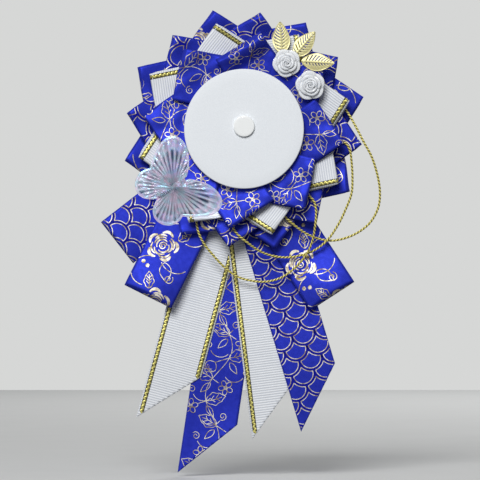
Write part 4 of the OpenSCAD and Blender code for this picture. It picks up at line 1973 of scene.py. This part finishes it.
WING_PAIRS = (
    WingPair(
        12,
        (
            (8, 7), (22, 12), (34, 18), (43, 22), (50, 24), (57, 24.4),
            (64, 23.8), (72, 21.8), (81, 19), (90, 16.8), (99, 15.2), (108, 14.2),
        ),
    ),
    WingPair(
        9,
        (
            (106, 13.8), (115, 16), (123, 17.4), (131, 18.2), (140, 18.4),
            (149, 18), (157, 17), (165, 15), (172, 11.4), (178, 7.6),
        ),
    ),
)


@dataclass(frozen=True)
class Bulb:
    """One part of the butterfly's body.

    Attributes:
        along: Place of its middle along the body.
        half_len: Half its length.
        radius: Half its thickness.
        grooves: Number of rings pressed round it.
    """

    along: float
    half_len: float
    radius: float
    grooves: int = 0


BULBS = (Bulb(-4.4, 5.0, 1.35, 5), Bulb(1.6, 3.2, 1.7), Bulb(5.2, 1.5, 1.4))


@dataclass(frozen=True)
class Butterfly:
    """A pressed acrylic butterfly with ridged wings.

    Attributes:
        node: Name of its node.
        middle: Its middle, right and up.
        heading: Direction of its head.
        ridge: Height of the pressed ridges.
        level: Height of the body's middle and the wings' roots over its back.
        droop: How far the wings' rims lie lower than their roots.
        wing_t: Thickness of a wing.
        groove: Depth of the body's grooves, as a share of its thickness.
        body_shade: How dark the body is, from 0 to 1.
        painted_groove_shade: How much darker its grooves are painted, as shade.
        feeler_r: Half the thickness of a feeler.
        feeler_step: Spacing of a feeler's points.
        feeler_level: Height of the feelers over its back.
    """

    node: str = "butterfly"
    middle: tuple[float, float] = (-33.42, -27.84)
    heading: float = 34.5
    ridge: float = 0.7
    level: float = 1.9
    droop: float = 0.7
    wing_t: float = 0.9
    groove: float = 0.12
    body_shade: float = 0.2
    painted_groove_shade: float = 0.78
    feeler_r: float = 0.28
    feeler_step: float = 0.34
    feeler_level: float = 2.2

    def place(self, points: np.ndarray) -> np.ndarray:
        """Puts points of the butterfly, with its head along the first axis, where it lies."""
        return to_frame(turned(points, self.heading) + [*self.middle, back_of(self.node)])

    @staticmethod
    def rim_reach(pair: WingPair, angle: np.ndarray) -> np.ndarray:
        """Finds the reach of a wing's rounded rim.

        Args:
            pair: The wing's pair.
            angle: Angles from the head in degrees.

        Returns:
            The reach at those angles.
        """
        angles, reaches = np.array(pair.outline, float).T
        fine = np.linspace(angles[0], angles[-1], 200)
        window = 15
        edge = np.pad(np.interp(fine, angles, reaches), window // 2, mode="edge")
        return np.interp(angle, fine, np.convolve(edge, np.ones(window) / window, "valid"))

    def relief(
        self, turn: np.ndarray, share: np.ndarray, spokes: int, rng: np.random.Generator
    ) -> np.ndarray:
        """Shapes a wing's fan of faceted ridges and its raised rim.

        Args:
            turn: Places round the fan from 0 to 1.
            share: Places from the root to the rim, up to 1.
            spokes: Number of ridges.
            rng: Source of the facets.

        Returns:
            Height over the plain wing.
        """
        facet_h, rows, rim_at, rim_w, rim_h, fan_end, fan_fade = 0.18, 6, 0.965, 0.03, 0.25, 0.82, 0.12
        facets = rng.uniform(-1, 1, (2 * spokes + 1, rows + 1))
        facet = facets[(2 * spokes * turn).astype(int), (rows * share).astype(int)]
        rim = np.exp(-(((share - rim_at) / rim_w) ** 2))
        ridges = self.fan(turn, spokes) ** 2.5 * share + facet_h * facet * share
        return self.ridge * (ridges * (1 - eased((share - fan_end) / fan_fade)) + rim_h * rim)

    def valleys(
        self, turn: np.ndarray, share: np.ndarray, spokes: int, rng: np.random.Generator
    ) -> np.ndarray:
        """Finds where a wing's cells lie, between its ridges, and how dark each one is.

        Args:
            turn: Places round the fan from 0 to 1.
            share: Places from the root to the rim, up to 1.
            spokes: Number of ridges.
            rng: Source of the shades.

        Returns:
            Values from 0 to 1.
        """
        palest, darkest, rim_at = (1.0, 0.6, 0.7, 0.1), (1.0, 1.0, 1.0, 1.0), 0.93
        rows = len(palest)
        shades = rng.uniform(palest, darkest, (spokes + 1, rows))
        row = np.minimum((rows * share).astype(int), rows - 1)
        shade = shades[np.rint(spokes * turn).astype(int), row]
        gaps = np.abs(np.sin(rows * np.pi * share)) ** 0.15 * (share < rim_at)
        return np.clip(5 * (1.02 - 0.2 * share - self.fan(turn, spokes)), 0, 1) * shade * gaps

    @staticmethod
    def fan(turn: np.ndarray, spokes: int) -> np.ndarray:
        """Says how near places round the fan are to a ridge: 1 on it and 0 midway between two."""
        return 1 - np.abs(2 * ((spokes * turn) % 1) - 1)

    def wing(self, pair: WingPair, side: int) -> Object:
        """Shapes a grid into one wing with a fan of ridges and a raised rim.

        Args:
            pair: The wing's pair.
            side: 1 for the left wing and -1 for the right one.

        Returns:
            The wing.
        """
        root = 0.04
        wing, across, up = flat_grid(132, 24)
        turn, share = (across + 1) / 2, root + (1 - root) * up
        rng = np.random.default_rng(SEED + pair.spokes)
        z = self.level - self.droop * share + self.relief(turn, share, pair.spokes, rng)
        mark_points(wing, CLEAR_ACRYLIC.mark, self.valleys(turn, share, pair.spokes, rng))
        first, last = pair.outline[0][0], pair.outline[-1][0]
        angle = first + (last - first) * turn
        reach = self.rim_reach(pair, angle) * share
        lying = np.column_stack([polar(reach, side * np.radians(angle)), z])
        move_points(wing, self.place(lying))
        apply_modifier(wing, "SOLIDIFY", thickness=self.wing_t * MM, offset=-1.0 if side > 0 else 1.0)
        return wing

    def bulb(self, sizes: Bulb) -> Object:
        """Shapes a sphere into one part of the body.

        Args:
            sizes: The part's sizes.

        Returns:
            The part.
        """
        bulb = add_primitive(bpy.ops.mesh.primitive_uv_sphere_add, segments=24, ring_count=32, radius=1.0)
        x, y, z = points_of(bulb).T
        rings = (sizes.grooves > 0) * (0.5 + 0.5 * np.cos(2 * np.pi * sizes.grooves * z))
        radius = sizes.radius * (1 - self.groove * rings)
        lying = np.column_stack([sizes.along + sizes.half_len * z, radius * x, radius * y + self.level])
        move_points(bulb, self.place(lying))
        # Painted shade: the body's grooves are darkened
        mark_points(bulb, CLEAR_ACRYLIC.mark, self.body_shade + self.painted_groove_shade * rings)
        return bulb

    def feeler(self, side: int) -> Object:
        """Bends a curve into one feeler that curls at its end.

        Args:
            side: 1 for the left feeler and -1 for the right one.

        Returns:
            The feeler as a mesh.
        """
        root, spread, curl = (6.0, side * 0.5), 20, 250
        angle = np.radians(spread + curl * np.linspace(0, 1, 22) ** 1.6)
        line = np.array(root) + np.cumsum(polar(self.feeler_step, side * angle), axis=0)
        points = self.place(np.column_stack([line, np.full(len(line), self.feeler_level)]))
        curve = bpy.data.curves.new("feeler", "CURVE")
        curve.dimensions = "3D"
        curve.bevel_depth = self.feeler_r * MM
        curve.bevel_resolution = 3
        curve.use_fill_caps = True
        spline = curve.splines.new("POLY")
        spline.points.add(len(points) - 1)
        spline.points.foreach_set("co", np.column_stack([points, np.ones(len(points))]).ravel())
        select_only(link("feeler", curve))
        bpy.ops.object.convert(target="MESH")
        return bpy.context.object

    def build(self) -> None:
        """Makes the butterfly of its wings, body and feelers."""
        parts = [self.wing(pair, side) for pair in WING_PAIRS for side in (1, -1)]
        parts += [self.bulb(sizes) for sizes in BULBS]
        parts += [self.feeler(side) for side in (1, -1)]
        piece = join("butterfly_pressing", parts)
        dress(piece, CLEAR_ACRYLIC)
        with editing(piece):
            bpy.ops.mesh.normals_make_consistent(inside=False)
        bpy.ops.object.shade_smooth_by_angle(angle=math.radians(14))
        # Light passes the clear pressing, so it casts no shadow
        piece.visible_shadow = False
        adopt(piece, "clear_acrylic", self.node)


@dataclass(frozen=True)
class Lamp:
    """A soft lamp.

    Attributes:
        name: Its name.
        place: Where it hangs, in metres.
        power: Its power in watts.
        size: Its width in metres.
    """

    name: str
    place: tuple[float, float, float]
    power: float
    size: float


LAMPS = (
    Lamp("key_lamp", (-0.4, -2.15, 1.2), 54.0, 1.0),
    Lamp("fill_lamp", (-1.2, -1.8, 0.1), 3.0, 0.9),
    Lamp("rear_lamp", (0.4, 1.4, 0.7), 8.0, 0.9),
)


@dataclass(frozen=True)
class Studio:
    """Pale floor, soft lamps and the camera straight before the rosette.

    Attributes:
        frame_mm: Height and width of what the camera frames.
        aim: Middle of the picture, right and up.
        distance: Distance of the camera.
        pale: Colour of the floor and the background.
        dim: Colour of the floor where it only lights the rosette.
        glow: Colour of the room's even light.
        glow_power: Strength of that light.
        floor_w: Width of the floor in metres.
        floor_gap: Gap between the tails and the floor in metres.
    """

    frame_mm: float = 230.4
    aim: tuple[float, float] = (-1.9, -52.9)
    distance: float = 2600.0
    pale: str = "#d6d7d6"
    dim: str = "#6f7072"
    glow: str = "#f4f6fa"
    glow_power: float = 0.15
    floor_w: float = 3.0
    floor_gap: float = 0.002

    @staticmethod
    def seen(tree: NodeTree, *kinds: str) -> NodeSocket:
        """Tells the rays that show the pale room from those that only light.

        Args:
            tree: Node tree that gets the nodes.
            *kinds: Kinds of ray that show the room.

        Returns:
            A socket that is 1 for a ray that shows the room.
        """
        path = add_node(tree, "ShaderNodeLightPath")
        shown = path.outputs["Is Camera Ray"]
        for kind in kinds:
            inputs = {0: shown, 1: path.outputs[f"Is {kind} Ray"]}
            shown = add_node(tree, "ShaderNodeMath", inputs, operation="MAXIMUM").outputs[0]
        return shown

    def floor(self) -> None:
        """Lays the floor under the tails."""
        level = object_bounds()[0].z - self.floor_gap
        plane = add_primitive(bpy.ops.mesh.primitive_plane_add, size=self.floor_w, location=(0, 0, level))
        plane.name = "pale_floor"
        # Uncoated paper: matt, and even to the eye
        dress(plane, Finish("pale_paper", self.pale, "#d2d3d2", 40.0, 0.05, (0.85, 0.95)))
        tree = plane.data.materials[0].node_tree
        shader = next(node for node in tree.nodes if node.type == "BSDF_PRINCIPLED")
        output = next(node for node in tree.nodes if node.type == "OUTPUT_MATERIAL")
        dim = add_node(tree, "ShaderNodeBsdfDiffuse", {"Color": linear(self.dim)})
        shares = {0: self.seen(tree, "Transmission"), 1: dim.outputs[0], 2: shader.outputs[0]}
        mix = add_node(tree, "ShaderNodeMixShader", shares)
        tree.links.new(mix.outputs[0], output.inputs["Surface"])
        plane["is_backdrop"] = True

    def world(self) -> None:
        """Fills the room with even light, and shows the pale background to the eye and to gloss."""
        world = bpy.data.worlds.new("pale_room")
        bpy.context.scene.world = world
        world.use_nodes = True
        tree = world.node_tree
        tree.nodes.clear()
        light, back = (
            add_node(tree, "ShaderNodeBackground", {"Color": linear(colour), "Strength": strength})
            for colour, strength in ((self.glow, self.glow_power), (self.pale, 1.0))
        )
        shares = {0: self.seen(tree, "Glossy", "Transmission"), 1: light.outputs[0], 2: back.outputs[0]}
        mix = add_node(tree, "ShaderNodeMixShader", shares)
        add_node(tree, "ShaderNodeOutputWorld", {"Surface": mix.outputs["Shader"]})

    def hang(self, lamp: Lamp) -> None:
        """Hangs a lamp so that it faces the rosette.

        Args:
            lamp: The lamp.
        """
        data = bpy.data.lights.new(lamp.name, "AREA")
        data.energy, data.size = lamp.power, lamp.size
        made = link(lamp.name, data)
        made.location = lamp.place
        aim = Vector((0, 0, self.aim[1] * MM))
        made.rotation_euler = (aim - made.location).to_track_quat("-Z", "Y").to_euler()

    def camera(self) -> None:
        """Sets the camera up with a long lens."""
        data = bpy.data.cameras.new("front_camera")
        data.sensor_width = 36.0
        data.lens = data.sensor_width * self.distance / self.frame_mm
        data.clip_start, data.clip_end = 0.1, 20.0
        made = link("front_camera", data)
        made.location = to_frame(np.array([*self.aim, self.distance]))
        made.rotation_euler = (math.pi / 2, 0, 0)
        bpy.context.scene.camera = made

    def build(self) -> None:
        """Sets up the floor, the light and the camera."""
        bpy.context.scene.view_settings.view_transform = "Standard"
        self.floor()
        self.world()
        for lamp in LAMPS:
            self.hang(lamp)
        self.camera()


ROSE_FOLDS = ((0.8, 28), (1.4, 28), (2.2, 16), (1.8, 16), (1.8, 16), (2.2, 11), (1.6, 20), (2.6, 11))
WAVE_FOLDS = ((0.7, 28), (1.2, 28), (2.4, 13), (2.0, 16), (1.8, 16), (1.8, 16), (1.0, 16), (0.6, 20))
GROSGRAIN_FOLDS = ((0.8, 28), (1.0, 28), (1.4, 20), (1.2, 20), (1.2, 20), (2.4, 10), (1.2, 20), (1.0, 28))
VINE_FOLDS = ((1.2, 20), (0.2, 28), (5.2, 9.5, 50), (2.4, 14), (0.2, 28), (0.2, 28), (1.4, 14, 30), (1.4, 20))
RINGS = tuple(
    PleatRing(name, tip_r, turn, weave, printed, tuple(Fold(*sizes) for sizes in folds), swell)
    for name, tip_r, turn, weave, printed, folds, swell in (
        ("rose", 59.5, RING_TURN, Weave.SATIN, Print.ROSE, ROSE_FOLDS, 0.1),
        ("wave", 57.0, HALF_TURN, Weave.SATIN, Print.WAVE, WAVE_FOLDS, 0.1),
        ("grosgrain", 52.5, RING_TURN, Weave.GROSGRAIN, None, GROSGRAIN_FOLDS, 0.0),
        ("vine", 48.5, HALF_TURN, Weave.SATIN, Print.VINE, VINE_FOLDS, 0.5),
    )
)
LOOPS = (
    BowLoop("wave_bow_loop", (-60.8, -54.2), 38.0, 56.0, Print.WAVE, 2.0, 2.0, -1, 12.0),
    BowLoop("left_bow_loop", (-46.0, -80.0), 63.5, 68.0, Print.ROSE, 11.0, 3.8, lift=1.8),
    BowLoop("right_bow_loop", (42.4, -79.8), 123.0, 66.0, Print.ROSE, 9.0, 3.8),
)
TAILS = (
    Tail("vine_tail", 3.6, -8.4, 158.0, Weave.SATIN, Print.VINE, 3.0),
    Tail("left_grosgrain_tail", -4.0, -15.2, 136.0, Weave.GROSGRAIN, None, 0.0),
    Tail("middle_grosgrain_tail", -0.9, 7.2, 138.0, Weave.GROSGRAIN, None, 0.0),
    Tail("wave_tail", 0.0, 16.7, 137.0, Weave.SATIN, Print.WAVE, 1.0),
)
CORDS = (
    GoldCord(
        "outer_gold_cord",
        (
            (45.5, 12.5, 12.7), (47.8, 10.2, 12.8), (50.4, 6.6, 13.4), (53.6, 0.8, 14.3), (57.2, -6.2, 14.7),
            (61, -13.2, 13.7), (63.8, -22, 11.9), (65, -30, 10.3), (64.2, -37.4, 9.1), (60.6, -44.2, 8.3),
            (55, -49, 7.8), (48.4, -52, 7.5), (41.4, -53.2, 7.5), (34.2, -51.8, 8.5), (27.8, -48.6, 10.7),
            (22.4, -44.4, 13.3), (18.4, -40.8, 14.3),
        ),
    ),
    GoldCord(
        "middle_gold_cord",
        (
            (44, -5.4, 16.1), (48.4, -6.6, 15.9), (50.6, -10.4, 15.5), (51.4, -16, 13.9),
            (51.8, -22.6, 12.7), (51.4, -30.6, 11.7), (48.6, -38.2, 10.7), (45, -45.6, 9.9),
            (40.2, -52.6, 9.3), (34.4, -57.4, 8.7), (28, -60, 8.3), (20.6, -61.2, 8.1), (13.4, -60.4, 8.9),
            (7.2, -58, 11.3), (2, -54.4, 14.7), (-2.4, -50.8, 15.8), (-5, -47.4, 16), (-5.2, -43.6, 16.1),
        ),
    ),
    GoldCord(
        "lower_gold_cord",
        (
            (28.4, -31.6, 16.1), (31.6, -32.4, 16.1), (33.8, -35.4, 15.7), (34.4, -40.2, 15.5),
            (34, -46, 14.8), (33, -52, 12.7), (31, -57.6, 11.1), (27.6, -62.8, 9.9), (23, -67.4, 8.7),
            (17.6, -71, 7.9), (10.8, -72.8, 7.4), (3.6, -72.4, 7.4), (-3.2, -70.4, 7.7), (-8.6, -66.6, 8.5),
            (-14, -61, 9.7), (-19, -54.8, 11), (-21.8, -49, 12.3), (-22.8, -43.6, 12.8),
        ),
    ),
)
ROSES = (
    ResinRose("upper_resin_rose", 13.4, 6.0, 15.0),
    ResinRose("lower_resin_rose", 14.0, 6.0, 70.0),
)
LEAVES = (
    GoldLeaf("top_leaf", (18.2, 35.4), 94.0),
    GoldLeaf("middle_leaf", (23.6, 34.4), 49.0),
    GoldLeaf("side_leaf", (27.4, 32.2), -4.0),
)
FELTS = (
    Round("felt_disc", 57.0, 2.0, 0.5, WHITE_FELT, "white_felt"),
    Round("backing_felt", 60.0, 1.2, 0.35, WHITE_FELT, "white_felt"),
)
BASE = PleatBase(Round("pleat_base", 60.0, 1.0, 0.3, WHITE_FELT, "white_felt"), 5, -6.1)
MAGNET = Round("badge_magnet", 10.0, 1.5, 0.3, WHITE_ENAMEL, "white_enamel", up=1.2)
PIN_NODES = ("pin_bar", "hinge_rivet", "pin_stem", "safety_catch")


def dress_pin(nodes: dict[str, Object]) -> None:
    """Gives the CAD nodes that stay in view, those of the pin, their finish.

    Args:
        nodes: The frame's nodes by name.
    """
    for name in PIN_NODES:
        dress(nodes[name], NICKEL)
        LOG.info("%s: %s", name, NICKEL.name)


def main() -> None:
    """Builds the rosette's looks round its frame."""
    logging.basicConfig(level=logging.INFO, format="%(message)s")
    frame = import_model()
    rng = np.random.default_rng(SEED)
    Studio().build()
    for cord in CORDS:
        cord.build()
    for ring in RINGS:
        ring.build(rng)
    for piece in (*LOOPS, *TAILS):
        piece.build()
    for felt in FELTS:
        made = felt.build()
    BASE.build()
    MAGNET.build()
    for ornament in (*ROSES, *LEAVES, Butterfly()):
        ornament.build()
    dress_pin(frame["nodes"])


if __name__ == "__main__":
    main()
